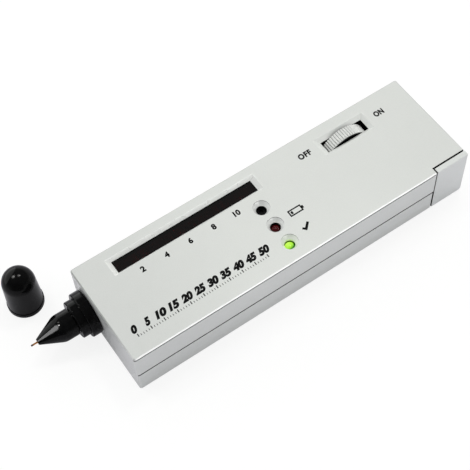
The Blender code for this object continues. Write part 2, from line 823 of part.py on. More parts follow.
def make_bottom_shell():
    shell = make_object("bottom_shell", shell_block(0, bottom_shell_head, 0), silver_paint("bottom_shell"))
    hollow_bottom_shell(shell)
    stiffen_bottom_shell(shell)
    bore_bottom_shell(shell)
    cut_neck(shell, "bottom")
    cut_battery_end(shell, "bottom", 0, PARTING_HEIGHT + TONGUE_HEIGHT, DOOR_LOWER_GAP)


def screw_form(radius, head_radius, head_height, length, sides):
    """Pan head screw along +Z, its head's underside at zero height."""
    profile = (
        (0, -head_height), (head_radius - FINE_BEVEL, -head_height),
        (head_radius, -head_height + FINE_BEVEL), (head_radius, 0),
        (radius, 0), (radius, length - radius), (0, length),
    )
    return turned(profile, sides)


def cross_bars(top):
    """The two bars that cut a cross recess, from below the head up to a height."""
    low = top - CROSS_DEPTH - OVERRUN
    half_length = CROSS_LENGTH / 2
    half_width = CROSS_WIDTH / 2
    return (
        block((-half_length, -half_width, low), (half_length, half_width, top)),
        block((-half_width, -half_length, low), (half_width, half_length, top)),
    )


def make_screws(name, places, under_head, radius, head_radius, head_height, length, crossed):
    """Equal pan head screws along +Z. Those that show have a cross recess."""
    material = bare_metal(name)
    for number, (x, y) in enumerate(places, 1):
        form = screw_form(radius, head_radius, head_height, length, SMALL_SIDES)
        screw = make_object(name + "_" + str(number), form, material, True, (x, y, under_head))
        if crossed:
            for bar in cross_bars(CROSS_DEPTH - head_height):
                cut(screw, make_tool(name + "_cross", bar, (x, y, under_head)))


def make_display():
    window = block((window_front, window_near, window_bottom), (window_rear, window_far, window_top))
    make_object("display_window", window, finish("display_window", (0.02, 0.004, 0.004), 0.06))
    housing_top = window_bottom - CLEARANCE
    lamp_top = housing_top - LED_BODY_SHORTFALL
    strip_top = seat_height + LED_STRIP_THICKNESS
    housing_form = block(
        (window_front, window_near, strip_top + CLEARANCE), (window_rear, window_far, housing_top),
    )
    black_plastic = finish("led_bar_housing", (0.02, 0.02, 0.02), 0.6)
    housing = make_object("led_bar_housing", housing_form, black_plastic)
    pitch = DISPLAY_LENGTH / LED_COUNT
    half_cell = (pitch - LED_WALL) / 2
    half_lamp = half_cell - CLEARANCE
    cells = []
    lamps = []
    for number in range(LED_COUNT):
        x = display_front + pitch * number + pitch / 2
        cell = block(
            (x - half_cell, display_near, strip_top),
            (x + half_cell, display_far, housing_top + OVERRUN),
        )
        cells.append((cell, Matrix()))
        lamp = block(
            (x - half_lamp, display_near + CLEARANCE, strip_top - LED_STRIP_THICKNESS / 2),
            (x + half_lamp, display_far - CLEARANCE, lamp_top),
        )
        lamps.append((bevelled(lamp, edges_at(lamp, lamp_top), FINE_BEVEL, 1), Matrix()))
    cut(housing, make_tool("led_cells", gathered(cells)))
    strip = block((window_front, window_near, seat_height), (window_rear, window_far, strip_top))
    led_bar = make_object("display_led_bar", strip, finish("display_led_bar", (0.35, 0.01, 0.01), 0.3))
    add(led_bar, make_tool("led_bodies", gathered(lamps)))


def make_board():
    outline = (
        (board_front, board_near), (board_rear, board_near), (board_rear, tongue_near),
        (tongue_end, tongue_near), (tongue_end, board_far), (board_front, board_far),
    )
    plate = prism(outline, BOARD_THICKNESS, board_bottom)
    board = make_object("main_board", plate, finish("main_board", (0.02, 0.12, 0.05), 0.45))
    below = board_bottom - OVERRUN
    above = board_top + OVERRUN
    relief = POST_RADIUS + CLEARANCE
    notch = block(
        (middle_post_x - relief, far_post_y, below),
        (middle_post_x + relief, far_side, above),
    )
    cut(board, make_tool("post_notch", notch))
    round_end = rod(relief, below, above)
    cut(board, make_tool("post_notch_end", round_end, (middle_post_x, far_post_y, 0)))
    holes = rods_at(board_screw_places, BOARD_SCREW_RADIUS + CLEARANCE, below, above, FINE_SIDES)
    cut(board, make_tool("board_holes", gathered(holes)))


def lamp_form(height):
    dome_height = height - LAMP_RADIUS
    profile = [
        (0, 0), (LAMP_FLANGE_RADIUS, 0),
        (LAMP_FLANGE_RADIUS, LAMP_FLANGE_HEIGHT), (LAMP_RADIUS, LAMP_FLANGE_HEIGHT),
    ]
    profile += arc((0, dome_height), LAMP_RADIUS, 0, 90, DOME_STEPS)
    return turned(profile, LAMP_SIDES)


def make_lamps():
    height = case_height - LAMP_RECESS - seat_height
    red = finish("low_battery_lamp", (0.25, 0.01, 0.012), 0.15)
    green = finish("ready_lamp", (0.35, 0.9, 0.05), 0.15, 0.0, 2.0)
    make_object("low_battery_lamp", lamp_form(height), red, True, (lamp_x, low_battery_y, seat_height))
    make_object("ready_lamp", lamp_form(height), green, True, (lamp_x, ready_y, seat_height))


def make_buzzer():
    hole_floor = BUZZER_HEIGHT - BUZZER_HOLE_DEPTH
    profile = (
        (0, 0), (BUZZER_RADIUS, 0), (BUZZER_RADIUS, BUZZER_HEIGHT - EDGE_BEVEL),
        (BUZZER_RADIUS - EDGE_BEVEL, BUZZER_HEIGHT), (BUZZER_HOLE_RADIUS, BUZZER_HEIGHT),
        (BUZZER_HOLE_RADIUS, hole_floor), (0, hole_floor),
    )
    plastic = finish("buzzer", (0.012, 0.012, 0.012), 0.5)
    make_object("buzzer", turned(profile, LAMP_SIDES), plastic, True, (lamp_x, sound_hole_y, seat_height))


def make_chip(name, length, leg_count, shares):
    """Two-row chip: a bevelled body with an end notch, and bent legs down to the board."""
    x, y = board_place(shares)
    body_foot = seat_height + CHIP_STANDOFF
    body_top = body_foot + CHIP_HEIGHT
    body = block(
        (x - length / 2, y - CHIP_WIDTH / 2, body_foot),
        (x + length / 2, y + CHIP_WIDTH / 2, body_top),
    )
    bevelled(body, edges_at(body, body_top), FINE_BEVEL, 1)
    chip = make_object(name, body, finish(name, (0.015, 0.015, 0.015), 0.5))
    legs = []
    shoulder = body_foot + CHIP_HEIGHT / 2
    outline = (
        (0, shoulder), (CHIP_LEG_REACH, shoulder), (CHIP_LEG_REACH, seat_height),
        (CHIP_LEG_REACH - CHIP_LEG_THICKNESS, seat_height),
        (CHIP_LEG_REACH - CHIP_LEG_THICKNESS, shoulder - CHIP_LEG_THICKNESS),
        (-CHIP_LEG_REACH, shoulder - CHIP_LEG_THICKNESS), (-CHIP_LEG_REACH, shoulder),
    )
    first = x - CHIP_LEG_PITCH * (leg_count - 1) / 2
    for side in (-1, 1):
        facing = Matrix.Rotation(side * math.pi / 2, 4, "Z") @ Matrix.Rotation(math.pi / 2, 4, "X")
        for number in range(leg_count):
            leg = prism(outline, CHIP_LEG_WIDTH, -CHIP_LEG_WIDTH / 2)
            place = shifted(first + CHIP_LEG_PITCH * number, y + side * CHIP_WIDTH / 2)
            legs.append((leg, place @ facing))
    add(chip, make_tool(name + "_legs", gathered(legs)))
    notch = rod(CHIP_NOTCH_RADIUS, body_top - FINE_BEVEL, body_top + OVERRUN, FINE_SIDES)
    cut(chip, make_tool(name + "_notch", notch, (x - length / 2, y, 0)))


def make_capacitors():
    groove_middle = CAPACITOR_GROOVE_LIFT + CAPACITOR_GROOVE_HEIGHT / 2
    groove_head = CAPACITOR_GROOVE_LIFT + CAPACITOR_GROOVE_HEIGHT
    profile = (
        (0, 0), (CAPACITOR_RADIUS, 0), (CAPACITOR_RADIUS, CAPACITOR_GROOVE_LIFT),
        (CAPACITOR_RADIUS - CAPACITOR_GROOVE, groove_middle), (CAPACITOR_RADIUS, groove_head),
        (CAPACITOR_RADIUS, CAPACITOR_HEIGHT - FINE_BEVEL),
        (CAPACITOR_RADIUS - FINE_BEVEL, CAPACITOR_HEIGHT), (0, CAPACITOR_HEIGHT),
    )
    sleeve = finish("capacitor", (0.03, 0.04, 0.10), 0.3)
    for number, shares in enumerate(CAPACITOR_SHARES, 1):
        place = (*board_place(shares), seat_height)
        make_object("capacitor_" + str(number), turned(profile, SMALL_SIDES), sleeve, True, place)


def make_resistors():
    half = RESISTOR_LENGTH / 2
    end = half + RESISTOR_LEAD_LENGTH
    one_side = [
        (RESISTOR_RADIUS, half - FINE_BEVEL), (RESISTOR_LEAD_RADIUS, half),
        (RESISTOR_LEAD_RADIUS, end), (0, end),
    ]
    profile = [(radius, -height) for radius, height in reversed(one_side)] + one_side
    lacquer = finish("resistor", (0.55, 0.42, 0.25), 0.5)
    for number, shares in enumerate(RESISTOR_SHARES, 1):
        place = (*board_place(shares), seat_height + RESISTOR_RADIUS)
        form = turned(profile, FINE_SIDES)
        make_object("resistor_" + str(number), form, lacquer, True, place, TURN_TO_Y)


def make_trimmers():
    """Square adjusters with a slotted screw, which set the two thresholds at the factory."""
    plastic = finish("trimmer", (0.02, 0.10, 0.35), 0.4)
    for number, shares in enumerate(TRIMMER_SHARES, 1):
        name = "trimmer_" + str(number)
        x, y = board_place(shares)
        half = TRIMMER_SIZE / 2
        head = seat_height + TRIMMER_HEIGHT
        body = block((x - half, y - half, seat_height), (x + half, y + half, head))
        trimmer = make_object(name, body, plastic)
        screw = rod(TRIMMER_SCREW_RADIUS, head - FINE_BEVEL, head + TRIMMER_SCREW_HEIGHT)
        add(trimmer, make_tool(name + "_screw", screw, (x, y, 0)))
        slot_foot = head + TRIMMER_SCREW_HEIGHT - TRIMMER_SLOT_DEPTH
        slot_half = TRIMMER_SLOT_WIDTH / 2
        slot = block((x - half, y - slot_half, slot_foot), (x + half, y + slot_half, slot_foot + OVERRUN))
        cut(trimmer, make_tool(name + "_slot", slot))


def wheel_outline():
    """Rim of fine ribs, as one closed outline about the wheel's axis."""
    root = wheel_radius - WHEEL_RIB_DEPTH
    step = 2 * math.pi / RIB_COUNT
    points = []
    for number in range(RIB_COUNT):
        start = number * step + RIB_TURN_ANGLE
        corners = (
            (start, root),
            (start + step * RIB_FLANK_SHARE, wheel_radius),
            (start + step * (1 - RIB_FLANK_SHARE), wheel_radius),
        )
        for angle, radius in corners:
            points.append((radius * math.cos(angle), radius * math.sin(angle)))
    return points


def make_thumbwheel():
    blank = prism(wheel_outline(), WHEEL_WIDTH)
    wheel = make_object("thumbwheel", blank, silver_paint("thumbwheel"), False, wheel_axis_place, TURN_TO_Y)
    dish_radius = wheel_radius - WHEEL_RIM
    near_dish = rod(dish_radius, -OVERRUN, WHEEL_NEAR_DISH, TURNED_SIDES)
    cut(wheel, make_tool("near_dish", near_dish, wheel_axis_place, TURN_TO_Y))
    past_far_face = WHEEL_WIDTH + OVERRUN
    far_dish_floor = WHEEL_WIDTH - WHEEL_FAR_DISH
    far_profile = (
        (WHEEL_HUB_RADIUS, far_dish_floor), (dish_radius, far_dish_floor),
        (dish_radius, past_far_face), (WHEEL_HUB_RADIUS, past_far_face),
    )
    far_dish = turned(far_profile, TURNED_SIDES, True)
    cut(wheel, make_tool("far_dish", far_dish, wheel_axis_place, TURN_TO_Y))
    bore_step = WHEEL_NEAR_DISH + WHEEL_SCREW_WEB
    bore_profile = (
        (0, -OVERRUN), (screw_bore_radius, -OVERRUN), (screw_bore_radius, bore_step),
        (shaft_bore_radius, bore_step), (shaft_bore_radius, past_far_face), (0, past_far_face),
    )
    cut(wheel, make_tool("wheel_bore", turned(bore_profile, SMALL_SIDES), wheel_axis_place, TURN_TO_Y))
    return wheel


def make_pot_shaft():
    socket_depth = shaft_near + WHEEL_SCREW_LENGTH
    profile = (
        (screw_bore_radius, shaft_near), (SHAFT_RADIUS, shaft_near), (SHAFT_RADIUS, shaft_far),
        (0, shaft_far), (0, socket_depth), (screw_bore_radius, socket_depth),
    )
    form = turned(profile, SMALL_SIDES, True)
    return make_object("pot_shaft", form, bare_metal("pot_shaft"), True, wheel_axis_place, TURN_TO_Y)


def make_wheel_screw():
    form = screw_form(
        WHEEL_SCREW_RADIUS, WHEEL_SCREW_HEAD_RADIUS, WHEEL_SCREW_HEAD_HEIGHT,
        WHEEL_SCREW_LENGTH, SMALL_SIDES,
    )
    place = wheel_axis_place + Vector((0, WHEEL_NEAR_DISH - CLEARANCE, 0))
    return make_object("wheel_screw", form, bare_metal("wheel_screw"), True, place, TURN_TO_Y)


def make_potentiometer():
    """Round body on the wheel's axis, with a row of blades over the board and a row under it."""
    bore_depth = SHAFT_DEPTH + CLEARANCE
    profile = (
        (shaft_bore_radius, 0), (pot_radius - POT_RIM_STEP, 0), (pot_radius, POT_RIM_STEP),
        (pot_radius, POT_DEPTH), (0, POT_DEPTH), (0, bore_depth), (shaft_bore_radius, bore_depth),
    )
    plastic = finish("pot_body", (0.03, 0.025, 0.02), 0.5)
    form = turned(profile, TURNED_SIDES, True)
    pot = make_object("pot_body", form, plastic, True, (wheel_x, pot_near, wheel_z), TURN_TO_Y)
    blades = []
    middle = (pot_near + pot_far) / 2
    lower_row = board_bottom - CLEARANCE - BLADE_THICKNESS
    for foot, blade_count in ((seat_height, UPPER_BLADE_COUNT), (lower_row, LOWER_BLADE_COUNT)):
        reach = math.sqrt(pot_radius ** 2 - (foot - wheel_z) ** 2)
        root = wheel_x - reach + BLADE_ROOT
        tip = wheel_x - reach - BLADE_LENGTH
        first = middle - BLADE_PITCH * (blade_count - 1) / 2 - BLADE_WIDTH / 2
        for number in range(blade_count):
            y = first + BLADE_PITCH * number
            blade = block((tip, y, foot), (root, y + BLADE_WIDTH, foot + BLADE_THICKNESS))
            blades.append((blade, Matrix()))
    add(pot, make_tool("pot_blades", gathered(blades)))


def battery_contacts():
    """Name, profile, radius, place across and sides of the battery's two contacts."""
    stud_profile = (
        (0, 0), (STUD_RADIUS, 0), (STUD_RADIUS, TERMINAL_HEIGHT / 3),
        (STUD_RADIUS - FINE_BEVEL, TERMINAL_HEIGHT / 2), (STUD_RADIUS, TERMINAL_HEIGHT - FINE_BEVEL),
        (STUD_RADIUS - FINE_BEVEL, TERMINAL_HEIGHT), (0, TERMINAL_HEIGHT),
    )
    bore_floor = TERMINAL_HEIGHT - CROWN_BORE_DEPTH
    crown_profile = (
        (0, 0), (CROWN_RADIUS, 0), (CROWN_RADIUS, TERMINAL_HEIGHT),
        (CROWN_BORE_RADIUS, TERMINAL_HEIGHT), (CROWN_BORE_RADIUS, bore_floor), (0, bore_floor),
    )
    return (
        ("battery_stud", stud_profile, STUD_RADIUS, stud_y, LAMP_SIDES),
        ("battery_crown", crown_profile, CROWN_RADIUS, crown_y, CROWN_SIDES),
    )


def make_battery():
    body = block(
        (battery_front, battery_near, FLOOR + CLEARANCE),
        (battery_rear, battery_far, FLOOR + CLEARANCE + BATTERY_HEIGHT),
    )
    bevelled(body, edges_along(body, 0), BATTERY_EDGE_RADIUS, 4)
    make_object("battery", body, finish("battery", (0.05, 0.05, 0.055), 0.35, 0.3), True)
    for name, profile, radius, y, sides in battery_contacts():
        place = (battery_front - CLEARANCE, y, battery_middle_height)
        make_object(name, turned(profile, sides), bare_metal(name), False, place, TURN_TO_FRONT)


def make_battery_snap():
    """Soft cover that clips on to both contacts."""
    half_height = BATTERY_HEIGHT / 2 - SNAP_TOP_MARGIN
    snap = block(
        (snap_front, battery_middle - snap_width / 2, battery_middle_height - half_height),
        (snap_rear, battery_middle + snap_width / 2, battery_middle_height + half_height),
    )
    bevelled(snap, edges_along(snap, 0), SNAP_CORNER_RADIUS, 3)
    cover = make_object("battery_snap", snap, finish("battery_snap", (0.015, 0.015, 0.015), 0.55))
    depth = TERMINAL_HEIGHT + CLEARANCE
    for name, profile, radius, y, sides in battery_contacts():
        socket = rod(radius + CLEARANCE, -OVERRUN, depth, LAMP_SIDES)
        place = (snap_rear, y, battery_middle_height)
        cut(cover, make_tool(name + "_socket", socket, place, TURN_TO_FRONT))


def make_battery_lead(name, colour, share):
    """A lead leaves the snap forwards, lifts over the board's rear edge and lies on the board."""
    start = snap_front - CLEARANCE
    lift = seat_height + LEAD_RADIUS
    y = battery_middle + snap_width * share
    route = (
        (start, y, battery_middle_height),
        (start - LEAD_BAY, y, battery_middle_height),
        (middle_post_x, y, (battery_middle_height + lift) / 2),
        (board_rear + CLEARANCE, y, lift),
        (board_rear - BOARD_TAIL / 3, y, lift),
    )
    wire(name, smooth_route(route, ROUTE_STEPS), LEAD_RADIUS, finish(name, colour, 0.4))


def make_battery_door():
    """Side plate with a rounded lower rear corner, and the end plate that closes the battery's mouth."""
    corner_centre = (rear - DOOR_CORNER_RADIUS, DOOR_CORNER_RADIUS)
    corner = arc(corner_centre, DOOR_CORNER_RADIUS, -90, 0, 4)
    outline = [(door_front, 0)] + corner + [(rear, case_height), (door_front, case_height)]
    plate = prism(outline, DOOR_LIP)
    plate.transform(shifted(0, near_side + DOOR_LIP) @ Matrix.Rotation(math.pi / 2, 4, "X"))
    bmesh.ops.recalc_face_normals(plate, faces=plate.faces)
    eased = []
    for edge in plate.edges:
        points = [vert.co for vert in edge.verts]
        outside = all(abs(point.y - near_side) < MERGE_DISTANCE for point in points)
        if outside and all(point.z > DOOR_CORNER_RADIUS / 2 for point in points):
            eased.append(edge)
    bevelled(plate, eased, FINE_BEVEL, 1)
    door = make_object("battery_door", plate, silver_paint("battery_door"))
    slab_far = battery_far + DOOR_OVERLAP + RAIL_BITE
    slab_near = near_side + DOOR_LIP / 2
    slab = block(
        (slab_front, slab_near, FLOOR - RAIL_BITE), (slab_rear, slab_far, roof_underside + RAIL_BITE),
    )
    add(door, make_tool("door_slab", slab))
    face = block(
        (slab_front, slab_near, FLOOR + CLEARANCE),
        (rear, battery_far + DOOR_OVERLAP - CLEARANCE, roof_underside - CLEARANCE),
    )
    add(door, make_tool("door_face", face))
    return door


def make_probe_collar():
    profile = (
        (collar_bore_radius, step_face), (STEP_RADIUS - FINE_BEVEL, step_face),
        (STEP_RADIUS, step_face + FINE_BEVEL), (STEP_RADIUS, -COLLAR_LENGTH),
        (COLLAR_RADIUS - FINE_BEVEL, -COLLAR_LENGTH), (COLLAR_RADIUS, -COLLAR_LENGTH + FINE_BEVEL),
        (COLLAR_RADIUS, -CLEARANCE), (NECK_RADIUS, -CLEARANCE),
        (NECK_RADIUS, flange_front), (INNER_FLANGE_RADIUS, flange_front),
        (INNER_FLANGE_RADIUS, flange_rear), (COLLAR_TUBE_RADIUS, flange_rear),
        (COLLAR_TUBE_RADIUS, tube_rear), (collar_bore_radius, tube_rear),
    )
    form = turned(profile, TURNED_SIDES, True)
    make_object("probe_collar", form, black_gloss("probe_collar"), True, probe_place(), TURN_TO_X)


def make_probe_nose():
    shoulder_centre = (NOSE_RADIUS - NOSE_SHOULDER_RADIUS, nose_shoulder)
    lean = math.degrees(math.atan2(NOSE_RADIUS - NOSE_TIP_RADIUS, NOSE_CONE))
    profile = [
        (pin_hole_radius, nose_tip), (NOSE_TIP_RADIUS - FINE_BEVEL, nose_tip),
        (NOSE_TIP_RADIUS, nose_tip + FINE_BEVEL),
    ]
    profile += arc(shoulder_centre, NOSE_SHOULDER_RADIUS, lean - 90 + NOSE_SHOULDER_ANGLE, 0, 4)
    profile += [
        (NOSE_RADIUS, nose_rear), (SPIGOT_RADIUS, nose_rear), (SPIGOT_RADIUS, spigot_rear),
        (plunger_bore_radius, spigot_rear), (plunger_bore_radius, plunger_seat),
        (pin_hole_radius, plunger_seat),
    ]
    form = turned(profile, TURNED_SIDES, True)
    make_object("probe_nose", form, black_gloss("probe_nose"), True, probe_place(), TURN_TO_X)


def make_probe_tip():
    """The pin, its plunger and its heater, which move back together when the pin is pressed."""
    pin_profile = (
        (0, pin_front), (PIN_RADIUS / 2, pin_front), (PIN_RADIUS, pin_front + PIN_RADIUS),
        (PIN_RADIUS, pin_rear), (0, pin_rear),
    )
    plunger_profile = (
        (pin_hole_radius, plunger_front), (PLUNGER_RADIUS - FINE_BEVEL, plunger_front),
        (PLUNGER_RADIUS, plunger_front + FINE_BEVEL), (PLUNGER_RADIUS, plunger_rear),
        (PLUNGER_BORE_RADIUS, plunger_rear), (PLUNGER_BORE_RADIUS, pin_rear), (pin_hole_radius, pin_rear),
    )
    copper = finish("probe_pin", (0.72, 0.33, 0.13), 0.3, 1.0)
    brass = finish("probe_plunger", (0.62, 0.45, 0.16), 0.3, 1.0)
    ceramic = finish("probe_heater", (0.5, 0.48, 0.44), 0.6)
    forms = (
        ("probe_pin", turned(pin_profile, FINE_SIDES), copper),
        ("probe_plunger", turned(plunger_profile, LAMP_SIDES, True), brass),
        ("probe_heater", rod(HEATER_RADIUS, heater_front, heater_front + HEATER_LENGTH), ceramic),
    )
    return [make_object(*parts, True, probe_place(), TURN_TO_X) for parts in forms]


def make_probe_spring():
    """Compression spring as one unbroken wire, from the plunger's rim to the plug's seat."""
    start = spring_front + SPRING_WIRE_RADIUS
    end = spring_rear - SPRING_WIRE_RADIUS
    turns = round((end - start) / SPRING_PITCH)
    count = turns * SPRING_POINTS
    route = []
    for index in range(count + 1):
        angle = 2 * math.pi * index / SPRING_POINTS
        along = start + (end - start) * index / count
        y = probe_y + SPRING_RADIUS * math.cos(angle)
        z = probe_z + SPRING_RADIUS * math.sin(angle)
        route.append((front + along, y, z))
    gaps = [
        (Vector(route[low]) - Vector(route[high])).length - 2 * SPRING_WIRE_RADIUS
        for low in range(len(route)) for high in range(low + SPRING_POINTS // 2, len(route))
    ]
    print("probe_spring least gap between turns, in metres:", round(min(gaps), 6))
    wire("probe_spring", route, SPRING_WIRE_RADIUS, bare_metal("probe_spring"), 1)


def make_probe_plug():
    """Plug that closes the probe's rear, with a hole for both leads."""
    lead_hole = PROBE_LEAD_OFFSET + PROBE_LEAD_RADIUS + 2 * CLEARANCE
    profile = (
        (plunger_bore_radius, plug_front), (SPIGOT_RADIUS, plug_front), (SPIGOT_RADIUS, plug_rear),
        (lead_hole, plug_rear), (lead_hole, plug_seat), (plunger_bore_radius, plug_seat),
    )
    form = turned(profile, LAMP_SIDES, True)
    plastic = finish("probe_plug", (0.6, 0.6, 0.57), 0.5)
    make_object("probe_plug", form, plastic, True, probe_place(), TURN_TO_X)


def make_probe_lead(name, side):
    """A heater lead runs from inside the plug back and up to its pad on the board."""
    lift = seat_height + PROBE_LEAD_RADIUS
    y = probe_y + side * PROBE_LEAD_OFFSET
    pad_y = window_near - PROBE_PAD_INSET + side * PROBE_PAD_OFFSET
    points = (
        (front + plug_rear - PLUG_REAR_WALL / 2, y, probe_z),
        (front + plug_rear, y, probe_z),
        (front + (plug_rear + PROBE_ROOM) / 2, (y + pad_y) / 2, (probe_z + lift) / 2),
        (front + PROBE_ROOM, pad_y, lift),
        (display_front, pad_y, lift),
    )
    wire(name, smooth_route(points, ROUTE_STEPS), PROBE_LEAD_RADIUS, finish(name, (0.55, 0.05, 0.05), 0.4))


def make_cap():
    """Cap with a stepped foot and a domed end, hollow to fit over the nose."""
    inner_radius = NOSE_RADIUS + CLEARANCE
    dome_foot = CAP_HEIGHT - CAP_DOME_RADIUS
    inner_dome_foot = CAP_HEIGHT - CAP_CROWN_THICKNESS - inner_radius
    inside = arc((0, inner_dome_foot), inner_radius, 0, 90, DOME_STEPS)
    profile = [
        (inner_radius, 0), (CAP_FOOT_RADIUS - FINE_BEVEL, 0), (CAP_FOOT_RADIUS, FINE_BEVEL),
        (CAP_FOOT_RADIUS, CAP_FOOT_HEIGHT - FINE_BEVEL), (CAP_WAIST_RADIUS, CAP_FOOT_HEIGHT),
    ]
    profile += arc((0, dome_foot), CAP_DOME_RADIUS, 0, 90, DOME_STEPS + 1)
    profile += reversed(inside)
    place = (front - CAP_FORWARD, CAP_ASIDE, 0)
    form = turned(profile, TURNED_SIDES, True)
    return make_object("probe_cap", form, black_gloss("probe_cap"), True, place)


clear_scene()
make_top_shell()
make_bottom_shell()
shank = screw_tip - screw_head_seat + CLEARANCE
make_screws("case_screw", post_places, screw_head_seat - CLEARANCE,
            CASE_SCREW_RADIUS, CASE_SCREW_HEAD_RADIUS, CASE_SCREW_HEAD_HEIGHT, shank, True)
make_screws("board_screw", board_screw_places, board_bottom - CLEARANCE, BOARD_SCREW_RADIUS,
            BOARD_SCREW_HEAD_RADIUS, BOARD_SCREW_HEAD_HEIGHT,
            BOARD_THICKNESS + 2 * CLEARANCE + BOARD_SCREW_REACH, False)
make_display()
make_board()
make_lamps()
make_buzzer()
make_chip("driver_chip", DRIVER_LENGTH, DRIVER_LEGS_A_SIDE, DRIVER_SHARES)
make_chip("amplifier_chip", AMPLIFIER_LENGTH, AMPLIFIER_LEGS_A_SIDE, AMPLIFIER_SHARES)
make_capacitors()
make_resistors()
make_trimmers()
carry(axis_empty("wheel_axis", wheel_axis_place), make_thumbwheel(), make_pot_shaft(), make_wheel_screw())
make_potentiometer()
make_battery()
make_battery_snap()
make_battery_lead("battery_lead_red", (0.55, 0.01, 0.01), RED_LEAD_SHARE)
make_battery_lead("battery_lead_black", (0.01, 0.01, 0.01), BLACK_LEAD_SHARE)
carry(axis_empty("door_slide", (slab_front, near_side, 0)), make_battery_door())
make_probe_collar()
make_probe_nose()
carry(axis_empty("pin_slide", probe_place(pin_front)), *make_probe_tip())
make_probe_spring()
make_probe_plug()
make_probe_lead("probe_lead_near", -1)
make_probe_lead("probe_lead_far", 1)
carry(axis_empty("cap_lift", (front - CAP_FORWARD, CAP_ASIDE, 0)), make_cap())
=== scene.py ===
"""Looks of a hand-held diamond tester that lies flat, with its probe cap beside it.

Lengths in the tables are millimetres in the CAD frame; MM turns them into metres.
The probe points along -X and the battery door is on the -Y side.
"""
import math

import bmesh
import bpy
from mathutils import Matrix, Vector


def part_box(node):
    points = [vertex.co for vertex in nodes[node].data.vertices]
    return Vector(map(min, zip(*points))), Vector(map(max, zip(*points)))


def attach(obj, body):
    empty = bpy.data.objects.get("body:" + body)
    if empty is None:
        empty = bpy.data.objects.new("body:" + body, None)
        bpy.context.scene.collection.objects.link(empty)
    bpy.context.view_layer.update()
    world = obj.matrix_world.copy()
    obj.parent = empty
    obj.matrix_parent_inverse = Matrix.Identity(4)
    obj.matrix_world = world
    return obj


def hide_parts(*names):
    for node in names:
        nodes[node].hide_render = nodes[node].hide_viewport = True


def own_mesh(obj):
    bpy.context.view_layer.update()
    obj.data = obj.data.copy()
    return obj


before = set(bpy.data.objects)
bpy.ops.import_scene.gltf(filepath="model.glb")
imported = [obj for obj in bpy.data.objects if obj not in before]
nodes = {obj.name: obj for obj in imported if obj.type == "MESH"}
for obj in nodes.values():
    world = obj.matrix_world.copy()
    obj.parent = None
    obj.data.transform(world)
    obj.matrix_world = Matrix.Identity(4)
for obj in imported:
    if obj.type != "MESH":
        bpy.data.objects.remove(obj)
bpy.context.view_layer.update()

MM = 0.001
OVERRUN = 2.0
GAP = 0.3


# ------------------------------------------------------------------ camera
CAMERA_PLACE = (-120.06, -171.66, 349.02)
CAMERA_LENS = 89.10
CAMERA_AZIMUTH = -31.296
CAMERA_ELEVATION = 58.535
CAMERA_ROLL = 3.651


def make_camera():
    azimuth, elevation, roll = (
        math.radians(v) for v in (CAMERA_AZIMUTH, CAMERA_ELEVATION, CAMERA_ROLL)
    )
    ahead = Vector((
        -math.sin(azimuth) * math.cos(elevation),
        math.cos(azimuth) * math.cos(elevation),
        -math.sin(elevation),
    ))
    level_right = ahead.cross(Vector((0, 0, 1))).normalized()
    level_down = ahead.cross(level_right)
    right = math.cos(roll) * level_right + math.sin(roll) * level_down
    down = ahead.cross(right)
    data = bpy.data.cameras.new("camera")
    data.lens = CAMERA_LENS
    data.sensor_width = 36
    data.clip_start = 0.01
    data.clip_end = 20
    camera = bpy.data.objects.new("camera", data)
    bpy.context.scene.collection.objects.link(camera)
    turn = Matrix((right, -down, -ahead)).transposed().to_4x4()
    camera.matrix_world = Matrix.Translation(Vector(CAMERA_PLACE) * MM) @ turn
    bpy.context.scene.camera = camera


make_camera()
bpy.context.scene.view_settings.view_transform = "Standard"


